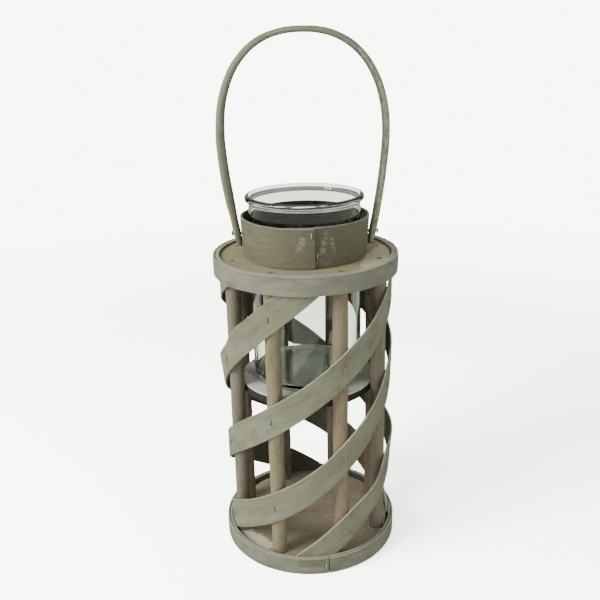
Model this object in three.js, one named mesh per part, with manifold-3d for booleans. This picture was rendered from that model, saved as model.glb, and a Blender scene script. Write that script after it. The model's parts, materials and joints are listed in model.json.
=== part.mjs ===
// A rustic hanging candle lantern, in millimetres with +Z up and the front towards -Y.
//
// Eight round posts stand in a ring between two round boards. Four wide wooden slats, each bent
// into a helix, wind round the outside of the posts and are tucked inside a hoop at either end.
// A shelf inside the posts carries an open glass jar, whose rim stands out of a bentwood collar.
// A bail handle swings on two rivets through the collar.
//
// Angles are in degrees round the lantern: 0 is the front, and they grow counter-clockwise as
// seen from above. The origin is the middle of the underside.

import * as THREE from 'three';
import { mergeVertices } from 'three/addons/utils/BufferGeometryUtils.js';
import Module from 'manifold-3d';

// ---------------------------------------------------------------- driving dimensions

const CLEARANCE = 0.3; // air between pieces that touch

const BODY_HEIGHT = 310; // underside to the upper edge of the top hoop

const JAR_RADIUS = 54.2;
const JAR_HEIGHT = 185;
const JAR_WALL = 2.6;
const JAR_FLOOR = 6;
const JAR_HEEL = 7; // rounding between the wall and the floor
const JAR_BEAD = 3; // radius of the rolled rim's section
const JAR_BEAD_OUT = 1.5; // how far the bead's middle stands outside the wall
const JAR_SHOULDER = 14; // height of the slight neck under the bead
const JAR_NECK_IN = 0.8; // how much the neck is drawn in

const JAR_TO_POST = 13.1; // from the jar's wall to the nearest side of a post
const POST_DIAMETER = 15;
const POST_ANGLES = [24, 68, 113, 157.5, -157.5, -113, -69, -25];

const BOARD_EDGE = 0.8; // small chamfer on the boards' rims
const BASE_THICKNESS = 13;
const SHELF_THICKNESS = 9;
const TOP_THICKNESS = 12;
const TOP_SUNK = 2; // the top board lies this far below its hoop's edge

const HOOP_HEIGHT = 18;
const HOOP_LAYER = 2.4; // thickness of one layer; each hoop has two
const HOOP_SEAM_GAP = 0.8; // between the two ends of a layer

const SLAT_WIDTH = 27;
const SLAT_THICKNESS = 2;
const SLAT_TIP = 12; // height of a slat's cut end
const SLAT_INSET = 1.2; // a slat's ends stop this far short of the hoops' far edges
const SLAT_STEP = 4.5; // degrees between the edges that a slat's curve is drawn with

// Each slat was bent by hand. Its middle line is near the underside at the angle `foot`, and climbs
// the body's whole height in `turn` degrees. It wanders from that line `waver` twice a turn, through
// zero at `waverAt`, and `sway` once a turn, through zero at `swayAt`. It stands `bow` off the posts
// half way between two of them, its upper edge more.
const SLATS = [
  { foot: -10.8, turn: 315.2, waver: 5.6, waverAt: 10, sway: 4.6, swayAt: -78, bow: 2.3 },
  { foot: -93.1, turn: 285, waver: 7.2, waverAt: 36, sway: 3.1, swayAt: 171, bow: 0.8 },
  { foot: -190.3, turn: 304.7, waver: 0.6, waverAt: 77, sway: 5.9, swayAt: 46, bow: 0.5 },
  { foot: -260.7, turn: 271.5, waver: 2.5, waverAt: -81, sway: 10.5, swayAt: 4, bow: 2.8 },
];
const SLAT_SETTLE = 24; // repeats that find the angle where a slat has a given height
const BOW_FADE = 36; // height above a hoop's edge over which a slat starts to stand off
const BOW_LOWER_EDGE = 0.2; // share of the bow at a slat's lower edge
const BOW_UPPER_EDGE = 1.6;

const COLLAR_TO_JAR = 2.9;
const COLLAR_OVER_BORE = 0.8; // how far the collar's foot stands back from the bore's edge
const COLLAR_THICKNESS = 2.7;
const COLLAR_RISE = 36.4; // above the top hoop's edge
const COLLAR_FLARE = 2.1; // how much wider the top edge is than the foot
const COLLAR_INNER_END = -18; // where the band starts, underneath
const COLLAR_LAP = 26; // how far its outer end runs on past its start
const COLLAR_STEP_OUT = 40; // over which the band moves out to pass over its start
const JAR_ABOVE_COLLAR = 19.6;

const HANDLE_WIDTH = 10;
const HANDLE_PIVOT_RISE = 18; // above the top hoop's edge
const HANDLE_RISE = 188; // from the pivots to the crown's outside
const HANDLE_WAIST = 90; // from the pivots up to the widest place
const HANDLE_SPREAD = 11.6; // how much wider that is, each side, than at the pivots
const HANDLE_LEG = 7.3; // thickness of the legs
const HANDLE_CROWN = 5.8; // thickness at the top
const HANDLE_SQUARENESS = 2.3; // 2 would be an ellipse
const HANDLE_BEND = 1.5; // power of the legs' curve
const HANDLE_PLAY = 0.7; // between the legs and the collar
const HANDLE_HEEL = 6; // the leg's outside ends this far below the pivots
const HANDLE_TOE = 13; // and its inside this far
const HANDLE_EDGE = 1.2; // chamfer along the arch

const RIVET_RADIUS = 1.5;
const RIVET_HEAD_RADIUS = 3.4;
const RIVET_HEAD = 1.2;

const WIRE = 1.2; // width and thickness of staple wire
const STAPLE_CROWN = 6;
const STAPLE_DEPTH = 6; // into a post

const NAIL_RADIUS = 0.9;
const NAIL_HEAD_RADIUS = 2.3;
const NAIL_HEAD = 0.8;
const NAIL_LENGTH = 30;

// ---------------------------------------------------------------- sizes that follow

const POST_RADIUS = POST_DIAMETER / 2;
const POST_INSIDE = JAR_RADIUS + JAR_TO_POST;
const POST_CIRCLE = POST_INSIDE + POST_RADIUS;
const BOARD_RADIUS = POST_CIRCLE + POST_RADIUS;
const SLAT_INSIDE = BOARD_RADIUS + CLEARANCE;
const SLAT_OUTSIDE = SLAT_INSIDE + SLAT_THICKNESS;
const HOOP_INNER_LAYER = SLAT_OUTSIDE + CLEARANCE;
const HOOP_OUTER_LAYER = HOOP_INNER_LAYER + HOOP_LAYER + CLEARANCE;
const HOOP_RADIUS = HOOP_OUTER_LAYER + HOOP_LAYER;

const TOP_HOOP_BOTTOM = BODY_HEIGHT - HOOP_HEIGHT;
const TOP_SURFACE = BODY_HEIGHT - TOP_SUNK;
const TOP_UNDERSIDE = TOP_SURFACE - TOP_THICKNESS;
const POST_BOTTOM = BASE_THICKNESS + CLEARANCE;
const POST_TOP = TOP_UNDERSIDE - CLEARANCE;

const COLLAR_INSIDE = JAR_RADIUS + COLLAR_TO_JAR;
const COLLAR_TOP = BODY_HEIGHT + COLLAR_RISE;
const COLLAR_FOOT = TOP_SURFACE + CLEARANCE;
const BORE_RADIUS = COLLAR_INSIDE - COLLAR_OVER_BORE;

const JAR_TOP = COLLAR_TOP + JAR_ABOVE_COLLAR;
const JAR_BOTTOM = JAR_TOP - JAR_HEIGHT;
const SHELF_TOP = JAR_BOTTOM - CLEARANCE;
const SHELF_RADIUS = POST_INSIDE - CLEARANCE;

const PIVOT_HEIGHT = BODY_HEIGHT + HANDLE_PIVOT_RISE;

// ---------------------------------------------------------------- materials

function wood(color, roughness = 0.85) {
  return new THREE.MeshStandardMaterial({ color, roughness, metalness: 0 });
}

const BOARD_WOOD = wood(0x9b8f78);
const SHELF_WOOD = wood(0x8d8878);
const HOOP_WOOD = wood(0x8f8f7b);
const SLAT_WOOD = wood(0x90907a);
const POST_WOOD = wood(0x9a8c74);
const COLLAR_WOOD = wood(0x6d6752);
const HANDLE_WOOD = wood(0x6f6a4e, 0.7);
const STEEL = new THREE.MeshStandardMaterial({ color: 0xb9b6ad, roughness: 0.35, metalness: 1 });
const CLEAR_GLASS = new THREE.MeshStandardMaterial({
  color: 0xd5e0da,
  roughness: 0.05,
  metalness: 0,
  transparent: true,
  opacity: 0.35,
});

// ---------------------------------------------------------------- helpers

const wasm = await Module();
wasm.setup();

const lantern = new THREE.Group();

/** Adds one named piece, with its own copy of the material. */
function addPiece(name, geometry, material) {
  const piece = new THREE.Mesh(geometry, material.clone());
  piece.name = name;
  lantern.add(piece);
  return piece;
}

/** Turns a closed geometry into a solid that can be cut. */
function toSolid(geometry) {
  const bare = geometry.clone();
  bare.deleteAttribute('normal');
  bare.deleteAttribute('uv');
  const merged = mergeVertices(bare, 1e-4);
  return new wasm.Manifold(new wasm.Mesh({
    numProp: 3,
    vertProperties: new Float32Array(merged.attributes.position.array),
    triVerts: new Uint32Array(merged.index.array),
  }));
}

/** Takes each of the tools out of the body. */
function cut(body, tools) {
  let solid = toSolid(body);
  for (const tool of tools) {
    solid = solid.subtract(toSolid(tool));
  }
  const mesh = solid.getMesh();
  const geometry = new THREE.BufferGeometry();
  geometry.setAttribute('position', new THREE.BufferAttribute(mesh.vertProperties, 3));
  geometry.setIndex(new THREE.BufferAttribute(mesh.triVerts, 1));
  geometry.computeVertexNormals();
  return geometry;
}

/** The unit vector that points outwards at an angle round the lantern. */
function outwards(angle) {
  const turn = THREE.MathUtils.degToRad(angle);
  return new THREE.Vector3(Math.sin(turn), -Math.cos(turn), 0);
}

/** A point by its angle, its distance from the axis and its height. */
function around(angle, radius, height) {
  return outwards(angle).multiplyScalar(radius).setZ(height);
}

/** A body of revolution about Z. The profile lists [radius, height] from the bottom, outside up. */
function turned(profile, segments) {
  const points = profile.map(([radius, height]) => new THREE.Vector2(radius, height));
  return new THREE.LatheGeometry(points, segments).rotateX(Math.PI / 2);
}

/** A round rod along Z, standing on `bottom`. */
function rod(radius, bottom, top, segments) {
  const height = top - bottom;
  const geometry = new THREE.CylinderGeometry(radius, radius, height, segments);
  return geometry.rotateX(Math.PI / 2).translate(0, 0, bottom + height / 2);
}

/**
 * A strip bent round the lantern. `place(along, across, through)` gives the point for three
 * shares from 0 to 1: along the strip, up its width, and from its inner to its outer face.
 */
function bentStrip(steps, place) {
  const geometry = new THREE.BoxGeometry(1, 1, 1, steps, 1, 1);
  const corners = geometry.attributes.position;
  for (let i = 0; i < corners.count; i += 1) {
    const point = place(corners.getX(i) + 0.5, corners.getY(i) + 0.5, corners.getZ(i) + 0.5);
    corners.setXYZ(i, point.x, point.y, point.z);
  }
  return geometry;
}

/** Stands a geometry at a point, with its own X outwards and its own Y up. */
function standAt(geometry, angle, radius, height) {
  const out = outwards(angle);
  const up = new THREE.Vector3(0, 0, 1);
  const frame = new THREE.Matrix4().makeBasis(out, up, new THREE.Vector3().crossVectors(out, up));
  frame.setPosition(around(angle, radius, height));
  return geometry.applyMatrix4(frame);
}

// ---------------------------------------------------------------- fasteners

/** A staple with an upright crown, driven inwards by `depth` from a surface at `radius`. */
function staple(angle, radius, height, depth) {
  const half = STAPLE_CROWN / 2;
  const outline = new THREE.Shape([
    new THREE.Vector2(-depth, -half),
    new THREE.Vector2(CLEARANCE + WIRE, -half),
    new THREE.Vector2(CLEARANCE + WIRE, half),
    new THREE.Vector2(-depth, half),
    new THREE.Vector2(-depth, half - WIRE),
    new THREE.Vector2(CLEARANCE, half - WIRE),
    new THREE.Vector2(CLEARANCE, -half + WIRE),
    new THREE.Vector2(-depth, -half + WIRE),
  ]);
  const geometry = new THREE.ExtrudeGeometry(outline, { depth: WIRE, bevelEnabled: false });
  return standAt(geometry.translate(0, 0, -WIRE / 2), angle, radius, height);
}

/** The two slots that a staple's legs need, as tools to cut with. */
function stapleSlots(angle, radius, height, depth) {
  const side = WIRE + 2 * CLEARANCE;
  const inside = depth + CLEARANCE;
  const length = inside + WIRE;
  return [-1, 1].map((end) => {
    const slot = new THREE.BoxGeometry(length, side, side);
    slot.translate(length / 2 - inside, (end * (STAPLE_CROWN - WIRE)) / 2, 0);
    return standAt(slot, angle, radius, height);
  });
}

/** A round-headed nail along Z: its head's underside is at height 0 and its shank points down. */
function nail() {
  const shoulder = NAIL_HEAD / 2;
  return turned([
    [0, -NAIL_LENGTH],
    [NAIL_RADIUS, -NAIL_LENGTH + 2 * NAIL_RADIUS],
    [NAIL_RADIUS, 0],
    [NAIL_HEAD_RADIUS, 0],
    [NAIL_HEAD_RADIUS, shoulder],
    [shoulder, NAIL_HEAD],
    [0, NAIL_HEAD],
  ], 8);
}

/** The hole for the nail over one post. */
function nailHole(angle) {
  const top = TOP_SURFACE + 2 * NAIL_HEAD;
  const bottom = TOP_SURFACE - NAIL_LENGTH - CLEARANCE;
  const hole = rod(NAIL_RADIUS + CLEARANCE, bottom, top, 8);
  const middle = around(angle, POST_CIRCLE, 0);
  return hole.translate(middle.x, middle.y, 0);
}

// ---------------------------------------------------------------- slats

/** A slat's climb for each degree. */
function slatRise(slat) {
  return BODY_HEIGHT / slat.turn;
}

/** Half of a slat's upright reach: its width is measured square to its slope. */
function slatReach(slat) {
  const arcPerDegree = THREE.MathUtils.degToRad(SLAT_INSIDE + SLAT_THICKNESS / 2);
  return (SLAT_WIDTH / 2) * Math.hypot(1, slatRise(slat) / arcPerDegree);
}

/** How far a slat's middle line strays from its straight climb. */
function slatWander(slat, angle) {
  const { degToRad } = THREE.MathUtils;
  return slat.waver * Math.sin(degToRad(2 * (angle - slat.waverAt)))
    + slat.sway * Math.sin(degToRad(angle - slat.swayAt));
}

/** The height of a slat's middle line at an angle. */
function slatHeight(slat, angle) {
  return slatRise(slat) * (angle - slat.foot) + slatWander(slat, angle);
}

/** The angle where a slat's middle line has a height. */
function slatAngle(slat, height) {
  let angle = slat.foot + height / slatRise(slat);
  for (let repeat = 0; repeat < SLAT_SETTLE; repeat += 1) {
    angle = slat.foot + (height - slatWander(slat, angle)) / slatRise(slat);
  }
  return angle;
}

/** The angles where a slat starts and ends, tucked inside the hoops. */
function slatSpan(slat) {
  const below = slatReach(slat) - SLAT_TIP - SLAT_INSET;
  return [slatAngle(slat, -below), slatAngle(slat, BODY_HEIGHT + below)];
}

/** The share, from 0 at a post to 1 half way to the next, that a slat may stand off. */
function betweenPosts(angle) {
  const sorted = POST_ANGLES.map((post) => (post + 360) % 360).sort((a, b) => a - b);
  const here = ((angle % 360) + 360) % 360;
  const next = sorted.find((post) => post > here) ?? sorted[0] + 360;
  const before = sorted.findLast((post) => post <= here) ?? sorted.at(-1) - 360;
  return Math.sin((Math.PI * (here - before)) / (next - before)) ** 2;
}

/** How far a slat stands off the posts at a place: not at all near the hoops. */
function slatBow(slat, angle, across) {
  const middle = slatHeight(slat, angle);
  const reach = slatReach(slat);
  const low = HOOP_HEIGHT + reach;
  const high = TOP_HOOP_BOTTOM - reach;
  const { smoothstep } = THREE.MathUtils;
  const clear = smoothstep(middle, low, low + BOW_FADE)
    * (1 - smoothstep(middle, high - BOW_FADE, high));
  const lean = THREE.MathUtils.lerp(BOW_LOWER_EDGE, BOW_UPPER_EDGE, across);
  return slat.bow * lean * clear * betweenPosts(angle);
}

function slatGeometry(slat) {
  const [first, last] = slatSpan(slat);
  const reach = slatReach(slat);
  const steps = Math.ceil((last - first) / SLAT_STEP);
  return bentStrip(steps, (along, across, through) => {
    const angle = THREE.MathUtils.lerp(first, last, along);
    const middle = slatHeight(slat, angle);
    const low = Math.max(middle - reach, SLAT_INSET);
    const high = Math.min(middle + reach, BODY_HEIGHT - SLAT_INSET);
    const radius = SLAT_INSIDE + slatBow(slat, angle, across) + SLAT_THICKNESS * through;
    return around(angle, radius, THREE.MathUtils.lerp(low, high, across));
  });
}

/** Where a slat's middle line crosses the posts, clear of the hoops. */
function slatCrossings(slat) {
  const [first, last] = slatSpan(slat);
  const room = STAPLE_CROWN / 2 + 2 * CLEARANCE;
  const crossings = [];
  for (let turn = -360; turn <= 360; turn += 360) {
    for (const post of POST_ANGLES) {
      const angle = post + turn;
      const height = slatHeight(slat, angle);
      const onSlat = angle > first && angle < last;
      const clear = height > HOOP_HEIGHT + room && height < TOP_HOOP_BOTTOM - room;
      if (onSlat && clear) {
        crossings.push({ post, angle, height });
      }
    }
  }
  return crossings.sort((a, b) => a.angle - b.angle);
}

const postSlots = new Map(POST_ANGLES.map((post) => [post, []]));

SLATS.forEach((slat, index) => {
  const name = `slat_${index + 1}`;
  const crossings = slatCrossings(slat);
  const slots = [];
  crossings.forEach(({ post, angle, height }, number) => {
    const place = [angle, SLAT_OUTSIDE, height, SLAT_THICKNESS + CLEARANCE + STAPLE_DEPTH];
    addPiece(`${name}_staple_${number + 1}`, staple(...place), STEEL);
    slots.push(...stapleSlots(...place));
    postSlots.get(post).push(...stapleSlots(...place));
  });
  addPiece(name, cut(slatGeometry(slat), slots), SLAT_WOOD);
});

// ---------------------------------------------------------------- boards and posts

/** A round board with chamfered rims, and a bore through it if `bore` isn't 0. */
function board(radius, bottom, thickness, bore) {
  const top = bottom + thickness;
  const rim = [
    [radius - BOARD_EDGE, bottom],
    [radius, bottom + BOARD_EDGE],
    [radius, top - BOARD_EDGE],
    [radius - BOARD_EDGE, top],
  ];
  return turned([[bore, bottom], ...rim, [bore, top], ...(bore ? [[bore, bottom]] : [])], 72);
}

addPiece('base_board', board(BOARD_RADIUS, 0, BASE_THICKNESS, 0), BOARD_WOOD);
addPiece('shelf_board', board(SHELF_RADIUS, SHELF_TOP - SHELF_THICKNESS, SHELF_THICKNESS, 0), SHELF_WOOD);

const topBoard = board(BOARD_RADIUS, TOP_UNDERSIDE, TOP_THICKNESS, BORE_RADIUS);
addPiece('top_board', cut(topBoard, POST_ANGLES.map(nailHole)), BOARD_WOOD);

POST_ANGLES.forEach((angle, index) => {
  const middle = around(angle, POST_CIRCLE, 0);
  const post = rod(POST_RADIUS, POST_BOTTOM, POST_TOP, 16).translate(middle.x, middle.y, 0);
  addPiece(`post_${index + 1}`, cut(post, [...postSlots.get(angle), nailHole(angle)]), POST_WOOD);

  const head = around(angle, POST_CIRCLE, TOP_SURFACE + CLEARANCE);
  addPiece(`top_nail_${index + 1}`, nail().translate(head.x, head.y, head.z), STEEL);
});

// ---------------------------------------------------------------- hoops

/** One layer of a hoop: a straight strip bent round, its two ends nearly meeting at `seam`. */
function hoopLayer(inside, bottom, seam) {
  const gap = THREE.MathUtils.radToDeg(HOOP_SEAM_GAP / inside);
  return bentStrip(72, (along, across, through) => {
    const angle = seam + gap / 2 + (360 - gap) * along;
    return around(angle, inside + HOOP_LAYER * through, bottom + HOOP_HEIGHT * across);
  });
}

/** A hoop of two layers, with a staple beside the outer layer's seam. */
function addHoop(name, bottom, seam) {
  const middle = bottom + HOOP_HEIGHT / 2;
  const beside = seam - THREE.MathUtils.radToDeg((2 * WIRE + HOOP_SEAM_GAP) / HOOP_RADIUS);
  const place = [beside, HOOP_RADIUS, middle, 2 * HOOP_LAYER];
  const slots = stapleSlots(...place);
  const oppositeSeam = seam + 180;
  addPiece(`${name}_inner`, cut(hoopLayer(HOOP_INNER_LAYER, bottom, oppositeSeam), slots), HOOP_WOOD);
  addPiece(`${name}_outer`, cut(hoopLayer(HOOP_OUTER_LAYER, bottom, seam), slots), HOOP_WOOD);
  addPiece(`${name}_staple`, staple(...place), STEEL);
}

addHoop('base_hoop', 0, 11.5);
addHoop('top_hoop', TOP_HOOP_BOTTOM, 200);

// ---------------------------------------------------------------- collar

const COLLAR_OUTER_END = COLLAR_INNER_END + 360 + COLLAR_LAP;

/** The collar's inner radius at an angle along the band and a height. */
function collarInside(angle, height) {
  const climb = (height - COLLAR_FOOT) / (COLLAR_TOP - COLLAR_FOOT);
  const lapStart = COLLAR_INNER_END + 360;
  const over = THREE.MathUtils.smoothstep(angle, lapStart - COLLAR_STEP_OUT, lapStart);
  return COLLAR_INSIDE + COLLAR_FLARE * climb + (COLLAR_THICKNESS + CLEARANCE) * over;
}

/** The collar's outer radius where it is a single layer. */
function collarOutside(height) {
  return collarInside(0, height) + COLLAR_THICKNESS;
}

function collarBand() {
  const span = COLLAR_OUTER_END - COLLAR_INNER_END;
  return bentStrip(84, (along, across, through) => {
    const angle = COLLAR_INNER_END + span * along;
    const height = THREE.MathUtils.lerp(COLLAR_FOOT, COLLAR_TOP, across);
    return around(angle, collarInside(angle, height) + COLLAR_THICKNESS * through, height);
  });
}

/** A hole along X through both sides of whatever it cuts, for the handle's rivets. */
function rivetHoles() {
  const reach = HOOP_RADIUS;
  const hole = rod(RIVET_RADIUS + CLEARANCE, -reach, reach, 12);
  return hole.rotateY(Math.PI / 2).translate(0, 0, PIVOT_HEIGHT);
}

// The first staple holds both layers of the lap, near its end. The second holds the band just
// past that end, lower down.
const COLLAR_STAPLES = [
  { angle: COLLAR_OUTER_END - 360 - 3, below: 6.5, layers: 2 },
  { angle: COLLAR_OUTER_END - 360 + 2, below: 27, layers: 1 },
].map(({ angle, below, layers }) => {
  const height = COLLAR_TOP - below;
  const radius = collarOutside(height) + (layers - 1) * (COLLAR_THICKNESS + CLEARANCE);
  return [angle, radius, height, layers * COLLAR_THICKNESS - CLEARANCE];
});

const collarTools = COLLAR_STAPLES.flatMap((place) => stapleSlots(...place));
addPiece('collar', cut(collarBand(), [...collarTools, rivetHoles()]), COLLAR_WOOD);
COLLAR_STAPLES.forEach((place, index) => {
  addPiece(`collar_staple_${index + 1}`, staple(...place), STEEL);
});

// ---------------------------------------------------------------- glass jar

/** Points of an arc in the profile, from one angle to another in degrees. */
function arc(middleRadius, middleHeight, radius, from, to, steps) {
  return Array.from({ length: steps + 1 }, (_, i) => {
    const turn = THREE.MathUtils.degToRad(THREE.MathUtils.lerp(from, to, i / steps));
    return [middleRadius + radius * Math.cos(turn), middleHeight + radius * Math.sin(turn)];
  });
}

function jarProfile() {
  const beadHeight = JAR_TOP - JAR_BEAD;
  const neck = JAR_RADIUS - JAR_NECK_IN;
  const shoulder = beadHeight - JAR_BEAD - JAR_SHOULDER;
  const inside = JAR_RADIUS - JAR_WALL;
  const innerHeel = JAR_HEEL - JAR_WALL;
  return [
    [0, JAR_BOTTOM],
    ...arc(JAR_RADIUS - JAR_HEEL, JAR_BOTTOM + JAR_HEEL, JAR_HEEL, -90, 0, 4),
    [JAR_RADIUS, shoulder],
    [neck, beadHeight - 1.5 * JAR_BEAD],
    ...arc(JAR_RADIUS + JAR_BEAD_OUT - JAR_BEAD / 2, beadHeight, JAR_BEAD, -70, 150, 8),
    [neck - JAR_WALL, beadHeight - 1.5 * JAR_BEAD],
    [inside, shoulder],
    ...arc(inside - innerHeel, JAR_BOTTOM + JAR_FLOOR + innerHeel, innerHeel, 0, -90, 3),
    [0, JAR_BOTTOM + JAR_FLOOR],
  ];
}

addPiece('glass_jar', turned(jarProfile(), 40), CLEAR_GLASS);

// ---------------------------------------------------------------- handle

const LEG_INSIDE = collarOutside(PIVOT_HEIGHT) + HANDLE_PLAY;
const WAIST_HEIGHT = PIVOT_HEIGHT + HANDLE_WAIST;
const INSIDE_WAIST = LEG_INSIDE + HANDLE_SPREAD;
const OUTSIDE_WAIST = INSIDE_WAIST + HANDLE_LEG;

/** Half the width between the legs' edges at a height below the waist. */
function legSpread(halfWidth, height) {
  const share = (WAIST_HEIGHT - height) / HANDLE_WAIST;
  const curve = halfWidth - HANDLE_SPREAD * share ** HANDLE_BEND;
  return Math.max(curve, collarOutside(height) + HANDLE_PLAY);
}

/**
 * One edge of the arch, from its right foot over the crown to its left foot. Above the waist it
 * is a superellipse; below, the legs draw in towards the pivots by a power curve.
 */
function archEdge(halfWidth, crownHeight, footHeight) {
  const right = [];
  const legSteps = 10;
  for (let i = 0; i < legSteps; i += 1) {
    const height = THREE.MathUtils.lerp(footHeight, WAIST_HEIGHT, i / legSteps);
    right.push(new THREE.Vector2(legSpread(halfWidth, height), height));
  }
  const archSteps = 16;
  for (let i = 0; i < archSteps; i += 1) {
    const turn = (Math.PI / 2) * (i / archSteps);
    const power = 2 / HANDLE_SQUARENESS;
    const rise = (crownHeight - WAIST_HEIGHT) * Math.sin(turn) ** power;
    right.push(new THREE.Vector2(halfWidth * Math.cos(turn) ** power, WAIST_HEIGHT + rise));
  }
  const left = right.map(({ x, y }) => new THREE.Vector2(-x, y)).reverse();
  return [...right, new THREE.Vector2(0, crownHeight), ...left];
}

function handleArch() {
  const crown = PIVOT_HEIGHT + HANDLE_RISE;
  const outside = archEdge(OUTSIDE_WAIST, crown, PIVOT_HEIGHT - HANDLE_HEEL);
  const inside = archEdge(INSIDE_WAIST, crown - HANDLE_CROWN, PIVOT_HEIGHT - HANDLE_TOE);
  const outline = new THREE.Shape([...outside, ...inside.reverse()]);
  const geometry = new THREE.ExtrudeGeometry(outline, {
    depth: HANDLE_WIDTH - 2 * HANDLE_EDGE,
    bevelThickness: HANDLE_EDGE,
    bevelSize: HANDLE_EDGE,
    bevelOffset: -HANDLE_EDGE,
    bevelSegments: 1,
  });
  return geometry.translate(0, 0, HANDLE_EDGE - HANDLE_WIDTH / 2).rotateX(Math.PI / 2);
}

addPiece('handle', cut(handleArch(), [rivetHoles()]), HANDLE_WOOD);

/** A rivet along X, headed inside the collar and outside the handle's leg. */
function rivet(side) {
  const innerSag = collarInside(0, PIVOT_HEIGHT) - CLEARANCE;
  const legOutside = legSpread(OUTSIDE_WAIST, PIVOT_HEIGHT + RIVET_HEAD_RADIUS) + CLEARANCE;
  const profile = [
    [0, innerSag - RIVET_HEAD],
    [RIVET_HEAD_RADIUS * 0.7, innerSag - RIVET_HEAD],
    [RIVET_HEAD_RADIUS * 0.7, innerSag],
    [RIVET_RADIUS, innerSag],
    [RIVET_RADIUS, legOutside],
    [RIVET_HEAD_RADIUS, legOutside],
    [RIVET_HEAD_RADIUS, legOutside + RIVET_HEAD / 2],
    [RIVET_HEAD_RADIUS / 2, legOutside + RIVET_HEAD],
    [0, legOutside + RIVET_HEAD],
  ];
  return turned(profile, 12).rotateY((side * Math.PI) / 2).translate(0, 0, PIVOT_HEIGHT);
}

addPiece('handle_rivet_right', rivet(1), STEEL);
addPiece('handle_rivet_left', rivet(-1), STEEL);

export default lantern;
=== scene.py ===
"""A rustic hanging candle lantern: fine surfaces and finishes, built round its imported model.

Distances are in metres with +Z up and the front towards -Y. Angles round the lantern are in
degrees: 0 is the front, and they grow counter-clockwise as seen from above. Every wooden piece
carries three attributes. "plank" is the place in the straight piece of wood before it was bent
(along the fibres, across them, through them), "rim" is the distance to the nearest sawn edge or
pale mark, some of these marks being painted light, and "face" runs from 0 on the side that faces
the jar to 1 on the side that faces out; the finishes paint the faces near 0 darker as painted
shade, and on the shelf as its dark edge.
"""

import json
import logging
import math
from dataclasses import dataclass, field, replace
from enum import Enum

import bpy
import numpy as np
from mathutils import Matrix, Vector


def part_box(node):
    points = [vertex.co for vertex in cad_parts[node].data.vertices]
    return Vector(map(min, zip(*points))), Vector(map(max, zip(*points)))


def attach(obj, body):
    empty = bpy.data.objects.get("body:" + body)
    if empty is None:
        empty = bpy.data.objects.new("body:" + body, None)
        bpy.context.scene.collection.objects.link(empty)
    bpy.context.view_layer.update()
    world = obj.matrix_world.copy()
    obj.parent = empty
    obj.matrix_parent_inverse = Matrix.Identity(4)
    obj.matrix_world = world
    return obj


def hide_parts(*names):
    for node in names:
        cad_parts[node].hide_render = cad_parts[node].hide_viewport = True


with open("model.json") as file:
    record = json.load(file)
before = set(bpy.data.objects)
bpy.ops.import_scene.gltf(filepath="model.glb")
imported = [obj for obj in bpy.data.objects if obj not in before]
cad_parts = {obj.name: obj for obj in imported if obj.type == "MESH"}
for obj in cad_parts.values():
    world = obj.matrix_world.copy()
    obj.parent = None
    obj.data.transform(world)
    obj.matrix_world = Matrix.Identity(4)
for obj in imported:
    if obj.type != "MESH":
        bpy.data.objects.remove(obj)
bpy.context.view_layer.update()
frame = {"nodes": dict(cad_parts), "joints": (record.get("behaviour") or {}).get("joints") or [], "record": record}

LOG = logging.getLogger("lantern")
MM = 0.001
UP = np.array([0.0, 0.0, 1.0])

Socket = bpy.types.NodeSocket
Sockets = bpy.types.bpy_prop_collection
Piece = bpy.types.Object
Color = tuple[float, float, float]
Setting = Socket | float | tuple


class Body(Enum):
    """The bodies that a piece can ride on."""

    FRAME = "frame"
    HANDLE = "handle"
    GLASS = "glass"


class Slot(Enum):
    """The record's material slots."""

    BOARD = "board_wood"
    SHELF = "shelf_wood"
    HOOP = "hoop_wood"
    SLAT = "slat_wood"
    POST = "post_wood"
    COLLAR = "collar_wood"
    HANDLE = "handle_wood"
    STEEL = "steel"
    GLASS = "clear_glass"


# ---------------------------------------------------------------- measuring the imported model


@dataclass(frozen=True)
class Ring:
    """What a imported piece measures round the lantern's axis."""

    angle: float
    inner: float
    outer: float
    low: float
    high: float

    @classmethod
    def of(cls, node: str) -> "Ring":
        """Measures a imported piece.

        Args:
            node: the piece's name.

        Returns:
            Its middle angle, its nearest and furthest distance from the axis, and its heights.
        """
        mesh = frame["nodes"][node].data
        points = np.empty(len(mesh.vertices) * 3, np.float32)
        mesh.vertices.foreach_get("co", points)
        points = points.reshape(-1, 3).astype(float)
        distance = np.hypot(points[:, 0], points[:, 1])
        low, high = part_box(node)
        middle = (low + high) / 2
        angle = math.degrees(math.atan2(middle.x, -middle.y))
        return cls(angle, distance.min(), distance.max(), points[:, 2].min(), points[:, 2].max())


def nodes_named(start: str) -> list[str]:
    """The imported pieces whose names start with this, in order."""
    return sorted(name for name in frame["nodes"] if name.startswith(start))


# ---------------------------------------------------------------- numbers and surfaces


def smoothstep(values: np.ndarray, low: float, high: float) -> np.ndarray:
    """0 below low, 1 above high, and 3s^2 - 2s^3 of the share s between them."""
    share = np.clip((values - low) / (high - low), 0.0, 1.0)
    return share * share * (3.0 - 2.0 * share)


def signed_power(values: np.ndarray, power: float) -> np.ndarray:
    """Each value's size raised to a power, with its sign kept."""
    return np.sign(values) * np.abs(values) ** power


def gap_between(upper: np.ndarray, lower: np.ndarray) -> np.ndarray:
    """How far one height is above another, and never less than nothing."""
    return np.maximum(upper - lower, 0.0)


def around(angle: np.ndarray, radius: np.ndarray, height: np.ndarray) -> np.ndarray:
    """The points (r sin a, -r cos a, h) for angles a in degrees, with x, y and z on a last axis."""
    turn = np.radians(angle)
    return np.stack(np.broadcast_arrays(radius * np.sin(turn), -radius * np.cos(turn), height), axis=-1)


def directions(angle: float) -> tuple[np.ndarray, np.ndarray]:
    """The level directions outwards and counter-clockwise at an angle in degrees."""
    sine, cosine = math.sin(math.radians(angle)), math.cos(math.radians(angle))
    return np.array([sine, -cosine, 0.0]), np.array([cosine, sine, 0.0])


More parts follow.
